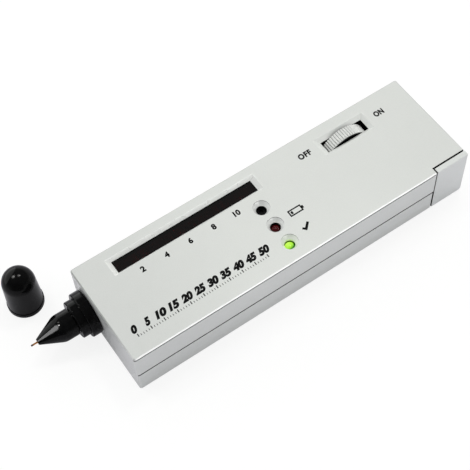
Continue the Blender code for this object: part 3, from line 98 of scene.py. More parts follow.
# ------------------------------------------------------------------ node helpers
class Paint:
    """A Principled material with short calls for the nodes that vary it."""

    def __init__(self, name, colour, roughness, metallic=0.0, **sockets):
        self.material = bpy.data.materials.new(name)
        self.material.use_nodes = True
        self.tree = self.material.node_tree
        self.shader = self.tree.nodes["Principled BSDF"]
        self.set("Base Color", (*colour, 1))
        self.set("Roughness", roughness)
        self.set("Metallic", metallic)
        for key, value in sockets.items():
            self.set(key.replace("_", " "), value)
        self.material.diffuse_color = (*colour, 1)
        self.space = self.add("ShaderNodeTexCoord").outputs["Object"]

    def set(self, socket, value):
        self.shader.inputs[socket].default_value = value

    def add(self, kind, **values):
        node = self.tree.nodes.new(kind)
        for key, value in values.items():
            setattr(node, key, value)
        return node

    def link(self, source, target):
        self.tree.links.new(source, target)
        return source

    def noise(self, size_mm, detail=2.0, rough=0.5, space=None):
        """Noise whose features are about size_mm across."""
        node = self.add("ShaderNodeTexNoise")
        node.inputs["Scale"].default_value = 1 / (size_mm * MM)
        node.inputs["Detail"].default_value = detail
        node.inputs["Roughness"].default_value = rough
        self.link(space or self.space, node.inputs["Vector"])
        return node.outputs["Fac"]

    def cells(self, size_mm, output="Color"):
        node = self.add("ShaderNodeTexVoronoi")
        node.inputs["Scale"].default_value = 1 / (size_mm * MM)
        self.link(self.space, node.inputs["Vector"])
        return node.outputs[output]

    def along(self, axis, start_mm, end_mm):
        """0 to 1 along an axis of the object's own space."""
        split = self.add("ShaderNodeSeparateXYZ")
        self.link(self.space, split.inputs[0])
        return self.fit(split.outputs[axis], start_mm * MM, end_mm * MM)

    def fit(self, source, low, high, new_low=0.0, new_high=1.0):
        node = self.add("ShaderNodeMapRange")
        self.link(source, node.inputs["Value"])
        for key, value in (("From Min", low), ("From Max", high), ("To Min", new_low), ("To Max", new_high)):
            node.inputs[key].default_value = value
        return node.outputs["Result"]

    def maths(self, operation, first, second=0.0):
        node = self.add("ShaderNodeMath", operation=operation)
        for socket, value in zip(node.inputs, (first, second)):
            if isinstance(value, (int, float)):
                socket.default_value = value
            else:
                self.link(value, socket)
        return node.outputs[0]

    def ramp(self, source, stops, interpolation="LINEAR"):
        node = self.add("ShaderNodeValToRGB")
        node.color_ramp.interpolation = interpolation
        elements = node.color_ramp.elements
        while len(elements) < len(stops):
            elements.new(0.5)
        for element, (place, colour) in zip(elements, stops):
            element.position = place
            element.color = (*colour, 1)
        self.link(source, node.inputs["Fac"])
        return node.outputs["Color"]

    def mix(self, fac, first, second, blend="MIX"):
        node = self.add("ShaderNodeMix", data_type="RGBA", blend_type=blend)
        for socket, value in ((node.inputs[0], fac), (node.inputs[6], first), (node.inputs[7], second)):
            if isinstance(value, (int, float)):
                socket.default_value = value
            elif isinstance(value, tuple):
                socket.default_value = (*value, 1)
            else:
                self.link(value, socket)
        return node.outputs[2]

    def colour(self, source):
        self.link(source, self.shader.inputs["Base Color"])

    def roughness(self, source, low, high):
        self.link(self.fit(source, 0.3, 0.7, low, high), self.shader.inputs["Roughness"])

    def bump(self, height, strength, depth_mm):
        node = self.add("ShaderNodeBump")
        node.inputs["Strength"].default_value = strength
        node.inputs["Distance"].default_value = depth_mm * MM
        self.link(height, node.inputs["Height"])
        self.link(node.outputs["Normal"], self.shader.inputs["Normal"])


def shade(colour, factor):
    return tuple(min(1.0, c * factor) for c in colour)


# ------------------------------------------------------------------ materials
def silver_paint(name, colour=(0.868, 0.884, 0.858)):
    """Silver spray paint on moulded plastic: fine metal flakes under a faint orange peel.

    It is painted darker towards the probe and towards the near side, as painted shade.
    """
    p = Paint(name, colour, 0.36, 0.14, IOR=1.45, Coat_Weight=0.7, Coat_Roughness=0.10, Coat_IOR=1.4)
    flakes = p.ramp(p.cells(0.11), ((0.0, shade(colour, 0.93)), (0.55, colour), (1.0, shade(colour, 1.07))))
    clouds = p.ramp(p.noise(14.0, 3.0), ((0.3, shade(colour, 0.985)), (0.7, shade(colour, 1.015))))
    # painted shade: darker towards the probe end and towards the near side
    painted_shade_front = p.ramp(p.along(0, FRONT, FRONT + 50), ((0.0, (0.91, 0.91, 0.915)), (1.0, (1.0, 1.0, 1.0))))
    painted_shade_near = p.ramp(p.along(1, NEAR, FAR), ((0.0, (0.955, 0.955, 0.955)), (1.0, (1.0, 1.0, 1.0))))
    p.colour(p.mix(1.0, p.mix(0.5, flakes, clouds), p.mix(1.0, painted_shade_front, painted_shade_near, "MULTIPLY"), "MULTIPLY"))
    p.roughness(p.noise(2.2, 3.0), 0.32, 0.40)
    p.bump(p.noise(0.30, 2.0), 0.08, 0.02)
    return p.material


def bright_paint(name):
    """The same paint in the wells, painted lighter than the top as painted light, and smoother so that it shines more.
    """
    p = Paint(name, (0.97, 0.98, 0.965), 0.16, 0.12, IOR=1.5)
    p.roughness(p.noise(1.5, 3.0), 0.12, 0.18)
    p.bump(p.noise(0.5, 2.0), 0.05, 0.01)
    return p.material


def bevel_paint(name, colour, metallic):
    """Paint on the leaning walls of the display or the switch slot, in a colour given for each: painted lighter on the
    display walls as painted light, and darker on the slot walls as painted shade.
    """
    p = Paint(name, colour, 0.3, metallic, IOR=1.45)
    p.colour(p.ramp(p.noise(3.0, 3.0), ((0.3, shade(colour, 0.98)), (0.7, shade(colour, 1.02)))))
    p.roughness(p.noise(1.5, 3.0), 0.26, 0.34)
    p.bump(p.noise(0.4, 2.0), 0.05, 0.01)
    return p.material


def bright_edge(name):
    """Metallic paint on the rim along the case's top edge, painted white as a highlight on the near side and turning
    to a darker grey towards the far side.
    """
    p = Paint(name, (0.93, 0.935, 0.925), 0.42, 0.6, IOR=1.45)
    # painted highlight: light grey to white along the rim, in patches
    worn = p.ramp(p.noise(4.0, 3.0), ((0.3, (0.93, 0.935, 0.925)), (0.7, (1.0, 1.0, 1.0))))
    p.colour(p.mix(p.along(1, NEAR + 1, NEAR + 17), worn, (0.62, 0.635, 0.61)))
    p.roughness(p.noise(1.2, 2.0), 0.38, 0.46)
    return p.material


def bare_plastic(name):
    """Dark moulding that shows where the paint doesn't reach."""
    p = Paint(name, (0.008, 0.008, 0.009), 0.6)
    p.set("Specular IOR Level", 0.2)
    p.colour(p.ramp(p.noise(0.8, 4.0), ((0.3, (0.006, 0.006, 0.007)), (0.7, (0.011, 0.011, 0.012)))))
    return p.material


def black_gloss(name, low=0.09, high=0.15, level=0.11):
    """Moulded black plastic with a worn shine."""
    colour = (0.003, 0.003, 0.0032)
    p = Paint(name, colour, 0.15, 0.0)
    p.set("Specular IOR Level", level)
    p.colour(p.ramp(p.noise(1.6, 4.0), ((0.3, shade(colour, 0.7)), (0.7, shade(colour, 1.4)))))
    p.roughness(p.noise(0.9, 4.0), low, high)
    p.bump(p.noise(0.22, 3.0), 0.06, 0.012)
    return p.material


def metal(name, colour, low=0.22, high=0.36, streak=(1.0, 1.0, 1.0)):
    p = Paint(name, colour, 0.3, 1.0)
    stretch = p.add("ShaderNodeMapping")
    stretch.inputs["Scale"].default_value = streak
    p.link(p.space, stretch.inputs["Vector"])
    grain = p.noise(0.25, 4.0, 0.6, stretch.outputs["Vector"])
    p.colour(p.ramp(grain, ((0.3, shade(colour, 0.86)), (0.7, shade(colour, 1.08)))))
    p.roughness(grain, low, high)
    p.bump(grain, 0.08, 0.01)
    return p.material


def matt_plastic(name, colour, roughness=0.5, spread=0.15):
    p = Paint(name, colour, roughness)
    p.colour(p.ramp(p.noise(0.8, 4.0), ((0.3, shade(colour, 1 - spread)), (0.7, shade(colour, 1 + spread)))))
    p.roughness(p.noise(0.5, 3.0), roughness - 0.06, roughness + 0.06)
    p.bump(p.noise(0.15, 2.0), 0.12, 0.02)
    return p.material


def ink(name):
    """Screen print, very slightly uneven."""
    p = Paint(name, (0.003, 0.003, 0.0035), 0.5)
    p.set("Specular IOR Level", 0.12)
    p.colour(p.ramp(p.noise(0.35, 4.0), ((0.3, (0.002, 0.002, 0.0025)), (0.75, (0.006, 0.006, 0.007)))))
    p.roughness(p.noise(0.2, 2.0), 0.42, 0.58)
    return p.material


def smoked_window(name):
    """Dark red acrylic that hides the lamp bar until a lamp is lit."""
    p = Paint(name, (0.17, 0.028, 0.025), 0.05, 0.0, IOR=1.49)
    p.set("Transmission Weight", 1.0)
    p.set("Specular IOR Level", 0.1)
    p.roughness(p.noise(3.0, 2.0), 0.03, 0.07)
    return p.material


# Middles of the painted glimmers of light on the lamp bar behind the window, with the half width and the weight of
# each glimmer
PAINTED_GLIMMERS = ((-45.9, 4.6, 0.9), (-30.9, 3.4, 1.0), (-22.6, 2.0, 0.35), (-13.2, 3.0, 0.8))


def lamp_bar_red(name):
    colour = (0.10, 0.012, 0.010)
    p = Paint(name, colour, 0.35)
    split = p.add("ShaderNodeSeparateXYZ")
    p.link(p.space, split.inputs[0])
    total = 0.0
    for middle, width, weight in PAINTED_GLIMMERS:
        away = p.maths("ABSOLUTE", p.maths("SUBTRACT", split.outputs[0], middle * MM))
        total = p.maths("ADD", p.fit(away, 0.0, width * MM, weight, 0.0), total)
    # painted light: the bar is dark red, painted bright red where light glimmers through the window
    p.colour(p.mix(total, (0.035, 0.010, 0.008), (0.75, 0.035, 0.03)))
    return p.material


def red_lens(name):
    p = Paint(name, (0.10, 0.003, 0.006), 0.05, 0.0, IOR=1.5)
    p.set("Transmission Weight", 0.35)
    p.set("Specular IOR Level", 0.3)
    p.colour(p.ramp(p.noise(0.6, 2.0), ((0.3, (0.08, 0.002, 0.004)), (0.7, (0.14, 0.004, 0.008)))))
    return p.material


def green_lens(name, centre):
    """Lit lens: yellow-green in the middle, with a darker green rim."""
    p = Paint(name, (0.25, 0.65, 0.04), 0.12, 0.0, IOR=1.5)
    p.set("Coat Weight", 0.3)
    shift = p.add("ShaderNodeVectorMath", operation="SUBTRACT")
    shift.inputs[1].default_value = ((centre[0] - 0.35) * MM, (centre[1] + 0.80) * MM, 0)
    p.link(p.space, shift.inputs[0])
    flat = p.add("ShaderNodeVectorMath", operation="MULTIPLY")
    flat.inputs[1].default_value = (1, 1, 0)
    p.link(shift.outputs[0], flat.inputs[0])
    length = p.add("ShaderNodeVectorMath", operation="LENGTH")
    p.link(flat.outputs[0], length.inputs[0])
    radius = p.fit(length.outputs["Value"], 0.0, 2.25 * MM)
    glow = p.ramp(radius, (
        (0.0, (0.66, 1.0, 0.12)), (0.66, (0.50, 0.94, 0.05)), (0.82, (0.30, 0.70, 0.03)), (0.95, (0.03, 0.16, 0.01)),
    ))
    p.link(glow, p.shader.inputs["Emission Color"])
    p.set("Emission Strength", 0.8)
    p.colour(p.ramp(radius, ((0.0, (0.10, 0.30, 0.02)), (1.0, (0.02, 0.10, 0.01)))))
    return p.material


def circuit_board(name):
    """Green solder resist with the faint relief of the tracks under it."""
    p = Paint(name, (0.012, 0.10, 0.045), 0.35)
    wave = p.add("ShaderNodeTexWave", wave_type="BANDS", bands_direction="Y")
    wave.inputs["Scale"].default_value = 120
    wave.inputs["Distortion"].default_value = 3.0
    wave.inputs["Detail"].default_value = 0.0
    p.link(p.space, wave.inputs["Vector"])
    p.colour(p.ramp(wave.outputs["Fac"], ((0.45, (0.010, 0.085, 0.038)), (0.55, (0.022, 0.17, 0.075)))))
    p.bump(wave.outputs["Fac"], 0.2, 0.035)
    return p.material


def banded_lacquer(name, node, bands):
    """Resistor lacquer with colour rings along the body."""
    low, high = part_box(node)
    p = Paint(name, (0.62, 0.48, 0.30), 0.4)
    place = p.along(1, low.y / MM, high.y / MM)
    stops = [(0.0, (0.60, 0.60, 0.58)), (0.20, (0.62, 0.47, 0.28))]
    for start, colour in zip((0.30, 0.42, 0.54, 0.66), bands):
        stops += [(start, colour), (start + 0.06, (0.62, 0.47, 0.28))]
    stops.append((0.80, (0.60, 0.60, 0.58)))
    p.colour(p.ramp(place, stops, "CONSTANT"))
    p.bump(p.noise(0.3, 2.0), 0.1, 0.02)
    return p.material


def capacitor_sleeve(name, node):
    """Shrunk sleeve with one pale stripe and a bare metal top."""
    low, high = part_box(node)
    p = Paint(name, (0.02, 0.03, 0.08), 0.3)
    stripe = p.ramp(p.along(0, low.x / MM, high.x / MM), ((0.0, (0.35, 0.37, 0.42)), (0.16, (0.015, 0.02, 0.07))), "CONSTANT")
    top = p.along(2, high.z / MM - 0.12, high.z / MM - 0.06)
    p.colour(p.mix(top, stripe, (0.62, 0.62, 0.61)))
    p.bump(p.noise(0.6, 2.0), 0.1, 0.02)
    return p.material


def battery_wrap(name):
    """Plain two-colour foil wrap with a copper band."""
    low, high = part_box("battery")
    p = Paint(name, (0.03, 0.03, 0.035), 0.28, 0.6)
    band = p.ramp(p.along(0, low.x / MM, high.x / MM), (
        (0.0, (0.55, 0.55, 0.54)), (0.025, (0.50, 0.27, 0.10)), (0.26, (0.018, 0.018, 0.022)), (0.975, (0.55, 0.55, 0.54)),
    ), "CONSTANT")
    p.colour(p.mix(p.fit(p.noise(2.5, 3.0), 0.3, 0.7, 0.0, 0.25), band, (0.10, 0.10, 0.10), "SCREEN"))
    p.roughness(p.noise(1.0, 3.0), 0.22, 0.36)
    p.bump(p.noise(1.5, 2.0), 0.15, 0.04)
    return p.material


# ------------------------------------------------------------------ mesh helpers
def block(low, high):
    form = bmesh.new()
    bmesh.ops.create_cube(form, size=1)
    bmesh.ops.scale(form, vec=Vector(high) - Vector(low), verts=form.verts)
    bmesh.ops.translate(form, vec=(Vector(high) + Vector(low)) / 2, verts=form.verts)
    return form


def edges_where(form, test):
    return [e for e in form.edges if all(test(v.co) for v in e.verts)]


def eased(form, edges, width, segments=4):
    bmesh.ops.bevel(
        form, geom=edges, offset=width, offset_type="OFFSET", segments=segments,
        profile=0.5, affect="EDGES", clamp_overlap=True,
    )
    return form


def softened(points, radii, steps=4, closed=True):
    """A profile with its corners rounded: one radius for each point, 0 for a sharp one."""
    made = []
    count = len(points)
    for index, (point, radius) in enumerate(zip(points, radii)):
        here = Vector(point)
        if radius <= 0 or (not closed and index in (0, count - 1)):
            made.append(tuple(here))
            continue
        back = Vector(points[index - 1]) - here
        on = Vector(points[(index + 1) % count]) - here
        reach = min(radius, back.length * 0.45, on.length * 0.45)
        start = here + back.normalized() * reach
        end = here + on.normalized() * reach
        for step in range(steps + 1):
            u = step / steps
            made.append(tuple(start * (1 - u) ** 2 + here * 2 * u * (1 - u) + end * u ** 2))
    return made


def spun(profile, sides, closed=False):
    """Spins (radius, height) points about Z."""
    form = bmesh.new()
    rings = []
    for radius, height in profile:
        if radius < 1e-6:
            rings.append([form.verts.new((0, 0, height))] * sides)
            continue
        rings.append([
            form.verts.new((radius * math.cos(2 * math.pi * k / sides), radius * math.sin(2 * math.pi * k / sides), height))
            for k in range(sides)
        ])
    pairs = list(zip(rings, rings[1:]))
    if closed:
        pairs.append((rings[-1], rings[0]))
    for low, high in pairs:
        for k in range(sides):
            after = (k + 1) % sides
            corners = []
            for vert in (low[k], low[after], high[after], high[k]):
                if vert not in corners:
                    corners.append(vert)
            if len(corners) > 2:
                form.faces.new(corners)
    return form


def tube_of(outline_rings):
    """Skin over closed rings of equal counts, with both ends closed."""
    form = bmesh.new()
    rings = [[form.verts.new(p) for p in ring] for ring in outline_rings]
    for low, high in zip(rings, rings[1:]):
        for k in range(len(low)):
            after = (k + 1) % len(low)
            form.faces.new((low[k], low[after], high[after], high[k]))
    form.faces.new(rings[0][::-1])
    form.faces.new(rings[-1])
    return form


def well_cutter(low, high, bottom, top, margins, rim):
    """Well with leaning walls and a rounded upper rim. Margins: front, rear, near, far."""
    depth = top - bottom
    rings = []
    levels = [(bottom - OVERRUN, 0.0, None), (bottom, 0.0, None)]
    steps = 5
    for step in range(steps + 1):
        u = step / steps
        levels.append((top - rim * (1 - u) ** 2, None, u))
    levels.append((top + OVERRUN, None, 1.0))
    for height, lean, u in levels:
        offsets = []
        for margin in margins:
            if u is None:
                offsets.append(margin * lean)
                continue
            first = margin * (depth - rim) / depth
            run = math.hypot(rim, margin * rim / depth)
            offsets.append(first * (1 - u) ** 2 + margin * 2 * u * (1 - u) + (margin + run) * u ** 2)
        f, r, n, a = offsets
        rings.append([
            (low[0] - f, low[1] - n, height), (high[0] + r, low[1] - n, height),
            (high[0] + r, high[1] + a, height), (low[0] - f, high[1] + a, height),
        ])
    return tube_of(rings)


def plain_object(name, form):
    bmesh.ops.recalc_face_normals(form, faces=form.faces)
    mesh = bpy.data.meshes.new(name)
    form.to_mesh(mesh)
    form.free()
    piece = bpy.data.objects.new(name, mesh)
    bpy.context.scene.collection.objects.link(piece)
    return piece


def carved(name, form, tools):
    """Applies Boolean tools, given as (operation, bmesh, matrix), and returns the object."""
    piece = plain_object(name, form)
    helpers = []
    for operation, tool_form, place in tools:
        tool_form.transform(place)
        tool = plain_object(name + "_tool", tool_form)
        modifier = piece.modifiers.new("tool", "BOOLEAN")
        modifier.operation = operation
        modifier.solver = "EXACT"
        modifier.object = tool
        helpers.append(tool)
    bpy.context.view_layer.update()
    result = bpy.data.meshes.new_from_object(piece.evaluated_get(bpy.context.evaluated_depsgraph_get()))
    piece.modifiers.clear()
    piece.data = result
    for tool in helpers:
        bpy.data.objects.remove(tool)
    return piece


def dressed(piece, body, material, slot, *replaced, sharp=32, place=None, weighted=True):
    """Scales a piece from millimetres, shades it, and puts it on its CAD body."""
    mesh = piece.data
    if place is not None:
        mesh.transform(place)
    mesh.transform(Matrix.Scale(MM, 4))
    mesh.shade_smooth()
    mesh.set_sharp_from_angle(angle=math.radians(sharp))
    mesh.materials.clear()
    mesh.materials.append(material)
    if weighted:
        modifier = piece.modifiers.new("even_shading", "WEIGHTED_NORMAL")
        modifier.mode = "FACE_AREA"
        modifier.weight = 100
        modifier.keep_sharp = True
    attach(piece, body)
    if replaced:
        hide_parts(*replaced)
    return piece


def bare_inside(piece, material, wells=()):
    """Gives faces that no spray reaches the bare moulding. Wells: x0, y0, x1, y1 on the top face."""
    mesh = piece.data
    mesh.materials.append(material)
    skin = 0.45
    for face in mesh.polygons:
        c, n = face.center / MM, face.normal
        painted = (
            (abs(n.x) > 0.3 and n.x * c.x > 0 and abs(c.x) > REAR - skin)
            or (abs(n.y) > 0.3 and n.y * c.y > 0 and abs(c.y) > FAR - skin)
            or (n.z > 0.3 and c.z > TOP - skin) or (n.z < -0.3 and c.z < skin)
            or (n.z > 0.15 and c.z > TOP - 2.6 and any(a < c.x < d and b < c.y < e for a, b, d, e in wells))
        )
        face.material_index = 0 if painted else 1


def shift(x=0.0, y=0.0, z=0.0):
    return Matrix.Translation((x, y, z))


def corners(node):
    low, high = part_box(node)
    return low / MM, high / MM


# ------------------------------------------------------------------ measures shared with the CAD
top_low, top_high = corners("top_shell")
bottom_low, bottom_high = corners("bottom_shell")
door_low, door_high = corners("battery_door")
wheel_low, wheel_high = corners("thumbwheel")
cap_low, cap_high = corners("probe_cap")
window_low, window_high = corners("display_window")
buzzer_low, buzzer_high = corners("buzzer")
red_low, red_high = corners("low_battery_lamp")
green_low, green_high = corners("ready_lamp")

FRONT, REAR = top_low.x, top_high.x
NEAR, FAR = top_low.y, top_high.y
TOP = top_high.z
WALL = 1.7
FLOOR = 1.6
ROOF_UNDERSIDE = TOP - 1.5
PARTING = 9.9
TOP_FOOT = PARTING + 0.30
BOTTOM_HEAD = PARTING - 0.30
EDGE = 0.4
CORNER = 0.9
RIM = 0.46
GROOVE = 0.48
FRONT_LAND = 1.7
FRONT_SKIN = 0.3
DISPLAY_FRONT, DISPLAY_REAR = window_low.x + 0.8, window_high.x - 0.8
DISPLAY_NEAR, DISPLAY_FAR = window_low.y + 0.8, window_high.y - 0.8
LAMP_X = (red_low.x + red_high.x) / 2
LAMP_YS = [(b[0].y + b[1].y) / 2 for b in ((buzzer_low, buzzer_high), (red_low, red_high), (green_low, green_high))]
WELL_X, WELL_YS = LAMP_X - 0.2, [y - 0.4 for y in LAMP_YS]
WELL_DEPTH, WELL_RIM, BORE = 1.8, 2.95, 1.85
WHEEL_X = (wheel_low.x + wheel_high.x) / 2
WHEEL_Z = (wheel_low.z + wheel_high.z) / 2
WHEEL_R = (wheel_high.x - wheel_low.x) / 2
DOOR_FRONT = door_low.x
BATTERY_FAR = corners("battery")[1].y
SLAB_FRONT = corners("battery")[1].x + 0.4
PROBE_Y, PROBE_Z = 9.37, 9.9
CAP_X, CAP_Y = (cap_low.x + cap_high.x) / 2, (cap_low.y + cap_high.y) / 2
POSTS = [tuple((a + b) / 2 for a, b in zip(*corners(f"case_screw_{n}")))[:2] for n in (1, 2, 3, 4)]
ALONG_X = Matrix.Translation((FRONT, PROBE_Y, PROBE_Z)) @ Matrix.Rotation(math.pi / 2, 4, "Y")


# ------------------------------------------------------------------ case
def battery_end_tools(low, high, side_gap):
    mouth_far = BATTERY_FAR + 0.5
    bite = 0.7
    return [
        ("DIFFERENCE", block((DOOR_FRONT - side_gap, NEAR - OVERRUN, low - OVERRUN),
                             (REAR + OVERRUN, NEAR + 2.55, high + OVERRUN)), Matrix()),
        ("DIFFERENCE", block((SLAB_FRONT - OVERRUN, NEAR - OVERRUN, FLOOR),
                             (REAR + OVERRUN, mouth_far, ROOF_UNDERSIDE)), Matrix()),
        ("DIFFERENCE", block((SLAB_FRONT - GAP, NEAR - OVERRUN, FLOOR - bite),
                             (SLAB_FRONT + 1.3 + GAP, mouth_far + bite, ROOF_UNDERSIDE + bite)), Matrix()),
    ]


def shell_block(low, high, outer, rim_width, rim_steps=5):
    form = block((FRONT, NEAR, low), (REAR, FAR, high))
    for x, width in ((FRONT, CORNER), (REAR, EDGE)):
        upright = [e for e in edges_where(form, lambda p: abs(p.x - x) < 0.01)
                   if abs(e.verts[0].co.z - e.verts[1].co.z) > 0.1]
        eased(form, upright, width, 6)
    return eased(form, edges_where(form, lambda p: abs(p.z - outer) < 0.01), rim_width, rim_steps)


def front_land():
    """Closes the parting gap across the front, where the mouldings meet without a line."""
    form = block((FRONT, NEAR, BOTTOM_HEAD - 1.5), (FRONT + FRONT_LAND, FAR, TOP_FOOT - 0.02))
    upright = [e for e in edges_where(form, lambda p: abs(p.x - FRONT) < 0.01)
               if abs(e.verts[0].co.z - e.verts[1].co.z) > 0.1]
    return eased(form, upright, CORNER, 6)


def neck_tool():
    return ("DIFFERENCE", spun(((0, -OVERRUN), (6.3, -OVERRUN), (6.3, WALL + OVERRUN), (0, WALL + OVERRUN)), 72), ALONG_X)


def rod(radius, low, high, sides=40):
    return spun(((0, low), (radius, low), (radius, high), (0, high)), sides)


def make_top():
    tools = [
        ("DIFFERENCE", block((FRONT + WALL, NEAR + WALL, TOP_FOOT - OVERRUN), (REAR - WALL, FAR - WALL, ROOF_UNDERSIDE)), Matrix()),
        ("DIFFERENCE", block((FRONT + 0.7, NEAR + 0.7, TOP_FOOT - OVERRUN), (REAR - 0.7, FAR - 0.7, PARTING + 1.3)), Matrix()),
    ]
    for x, y in POSTS:
        tools.append(("UNION", rod(2.4, TOP_FOOT, ROOF_UNDERSIDE + 0.7), shift(x, y)))
        tools.append(("DIFFERENCE", rod(1.2, TOP_FOOT - OVERRUN, TOP_FOOT + 6.3), shift(x, y)))
    well = [(0, TOP - OVERRUN - WELL_DEPTH), (BORE, TOP - OVERRUN - WELL_DEPTH), (BORE, TOP - WELL_DEPTH),
            (WELL_RIM - 0.03, TOP - 0.37), (WELL_RIM, TOP - 0.30), (WELL_RIM, TOP - 0.10), (WELL_RIM + 0.10, TOP),
            (WELL_RIM + 0.10, TOP + OVERRUN), (0, TOP + OVERRUN)]
    well = softened(well, (0, 0, 0.10, 0.03, 0.06, 0.08, 0, 0, 0))
    for y in WELL_YS:
        tools.append(("UNION", rod(3.17, TOP - 2.5, ROOF_UNDERSIDE + 0.7, 64), shift(WELL_X, y)))
        tools.append(("DIFFERENCE", spun(well, 72), shift(WELL_X, y)))
    tools.append(("DIFFERENCE", well_cutter(
        (DISPLAY_FRONT, DISPLAY_NEAR), (DISPLAY_REAR, DISPLAY_FAR), ROOF_UNDERSIDE, TOP, (1.8, 1.7, 1.1, 0.95), 0.16,
    ), Matrix()))
    tools.append(("DIFFERENCE", well_cutter(
        (WHEEL_X - 8.7, wheel_low.y - GAP), (WHEEL_X + 8.7, wheel_high.y + GAP), ROOF_UNDERSIDE, TOP,
        (2.3, 1.5, 1.35, 1.5), 0.16,
    ), Matrix()))
    tools.append(neck_tool())
    tools += battery_end_tools(TOP_FOOT, TOP, 0.55)
    # a groove under the near top edge, whose faces take the dark bare moulding, draws a painted shade line under the
    # edge's painted highlight
    tools.append(("DIFFERENCE", block((FRONT - OVERRUN, NEAR - OVERRUN, TOP - RIM - GROOVE), (DOOR_FRONT - 0.95, NEAR + 0.5, TOP - RIM)), Matrix()))
    piece = carved("upper_case", shell_block(TOP_FOOT, TOP, TOP, RIM, 1), tools)
    dressed(piece, "case", silver_paint("silver_upper"), "silver_paint", "top_shell")
    bare_inside(piece, BARE, (
        (DISPLAY_FRONT - 3, DISPLAY_NEAR - 3, DISPLAY_REAR + 3, DISPLAY_FAR + 3),
        (WHEEL_X - 12, wheel_low.y - 3, WHEEL_X + 12, wheel_high.y + 3),
        (WELL_X - 4, WELL_YS[2] - 4, WELL_X + 4, WELL_YS[0] + 4),
    ))
    piece.data.materials.append(bright_paint("silver_wells_painted_light"))
    piece.data.materials.append(bright_edge("silver_edge_painted_highlight"))
    # the display walls' paint is painted lighter (painted light), the slot walls' paint darker (painted shade)
    piece.data.materials.append(bevel_paint("silver_display_walls_painted_light", (0.95, 0.96, 0.94), 0.15))
    piece.data.materials.append(bevel_paint("silver_slot_walls_painted_shade", (0.86, 0.875, 0.85), 0.03))
    for face in piece.data.polygons:
        c, n = face.center / MM, face.normal
        # the rim along the top edge takes the edge paint with its painted highlight
        if c.z > TOP - RIM and 0.2 < n.z < 0.99 and (abs(c.y) > FAR - RIM or abs(c.x) > REAR - RIM):
            face.material_index = 3
        # walls of the lamp wells take the well paint, painted lighter than the top as painted light
        if face.material_index == 0 and c.z < TOP - 0.01 and any(math.hypot(c.x - WELL_X, c.y - y) < 3.3 for y in WELL_YS):
            face.material_index = 2
        # leaning walls: the display's take the lighter paint (painted light), the slot's the darker paint (painted
        # shade)
        elif face.material_index == 0 and c.z < TOP - 0.01 and 0.15 < n.z < 0.97 and abs(c.x) < REAR - 2 and abs(c.y) < FAR - 2:
            face.material_index = 5 if c.x > DISPLAY_REAR + 5 else 4
        # the bore of the green lamp's well takes the lighter well paint too, as painted light where the lit lens glows
        # on it
        if TOP - 3 < c.z < TOP and math.hypot(c.x - WELL_X, c.y - WELL_YS[2]) < BORE + 0.05:
            face.material_index = 2


def make_bottom():
    tools = [
        ("UNION", block((FRONT + 1.0, NEAR + 1.0, FLOOR), (REAR - 1.0, FAR - 1.0, PARTING + 1.0)), Matrix()),
        ("UNION", front_land(), Matrix()),
        ("DIFFERENCE", block((FRONT + WALL, NEAR + WALL, FLOOR), (REAR - WALL, FAR - WALL, PARTING + 3.0)), Matrix()),
    ]
    for y in (NEAR, FAR):
        tools.append(("DIFFERENCE", block((FRONT + FRONT_SKIN, y - 0.95, BOTTOM_HEAD), (FRONT + 3.0, y + 0.95, TOP_FOOT)), Matrix()))
    guide = BATTERY_FAR + GAP
    room = WHEEL_R + 2.0
    battery_front = corners("battery")[0].x
    tools.append(("UNION", block((battery_front + 2, guide, 0.8), (WHEEL_X - room, guide + 1.1, BOTTOM_HEAD - 1)), Matrix()))
    tools.append(("UNION", block((WHEEL_X + room, guide, 0.8), (SLAB_FRONT - 2.4, guide + 1.1, BOTTOM_HEAD - 1)), Matrix()))
    for x, y in POSTS:
        tools.append(("UNION", rod(2.4, 0.8, BOTTOM_HEAD), shift(x, y)))
        tools.append(("DIFFERENCE", spun(((0, -OVERRUN), (2.1, -OVERRUN), (2.1, 2.6), (1.2, 2.6),
                                          (1.2, BOTTOM_HEAD + OVERRUN), (0, BOTTOM_HEAD + OVERRUN)), 48), shift(x, y)))
    tools.append(neck_tool())
    tools += battery_end_tools(0, PARTING + 1.0, 0.8)
    piece = carved("lower_case", shell_block(0, BOTTOM_HEAD, 0, EDGE), tools)
    dressed(piece, "case", silver_paint("silver_lower"), "silver_paint", "bottom_shell")
    bare_inside(piece, BARE)


def make_door():
    """Side plate with the end plate that slides in the case's grooves."""
    height = TOP
    corner = [(REAR - 1 + math.sin(math.radians(a)), 1 - math.cos(math.radians(a))) for a in range(0, 91, 15)]
    outline = [(DOOR_FRONT, 0)] + corner + [(REAR, height), (DOOR_FRONT, height)]
    form = bmesh.new()
    face = form.faces.new([form.verts.new((x, NEAR + 1.9, z)) for x, z in outline])
    grown = bmesh.ops.extrude_face_region(form, geom=[face])["geom"]
    bmesh.ops.translate(form, vec=(0, -1.9, 0), verts=[v for v in grown if isinstance(v, bmesh.types.BMVert)])
    bmesh.ops.recalc_face_normals(form, faces=form.faces)
    outer = edges_where(form, lambda p: abs(p.y - NEAR) < 0.01)
    top_edge = edges_where(form, lambda p: abs(p.z - height) < 0.01 and abs(p.x - DOOR_FRONT) < 20)
    upright = [e for e in top_edge if abs(e.verts[0].co.y - e.verts[1].co.y) > 0.5]
    eased(form, outer + upright, 0.25, 4)
    tools = [
        ("UNION", block((SLAB_FRONT, NEAR + 0.95, FLOOR - 0.4), (SLAB_FRONT + 1.3, BATTERY_FAR + 0.9, ROOF_UNDERSIDE + 0.4)), Matrix()),
        ("UNION", block((SLAB_FRONT, NEAR + 0.95, FLOOR + GAP), (REAR, BATTERY_FAR + 0.2, ROOF_UNDERSIDE - GAP)), Matrix()),
    ]
    piece = carved("battery_cover", form, tools)
    dressed(piece, "door", silver_paint("silver_door", (0.89, 0.91, 0.89)), "silver_paint", "battery_door")
    bare_inside(piece, BARE)


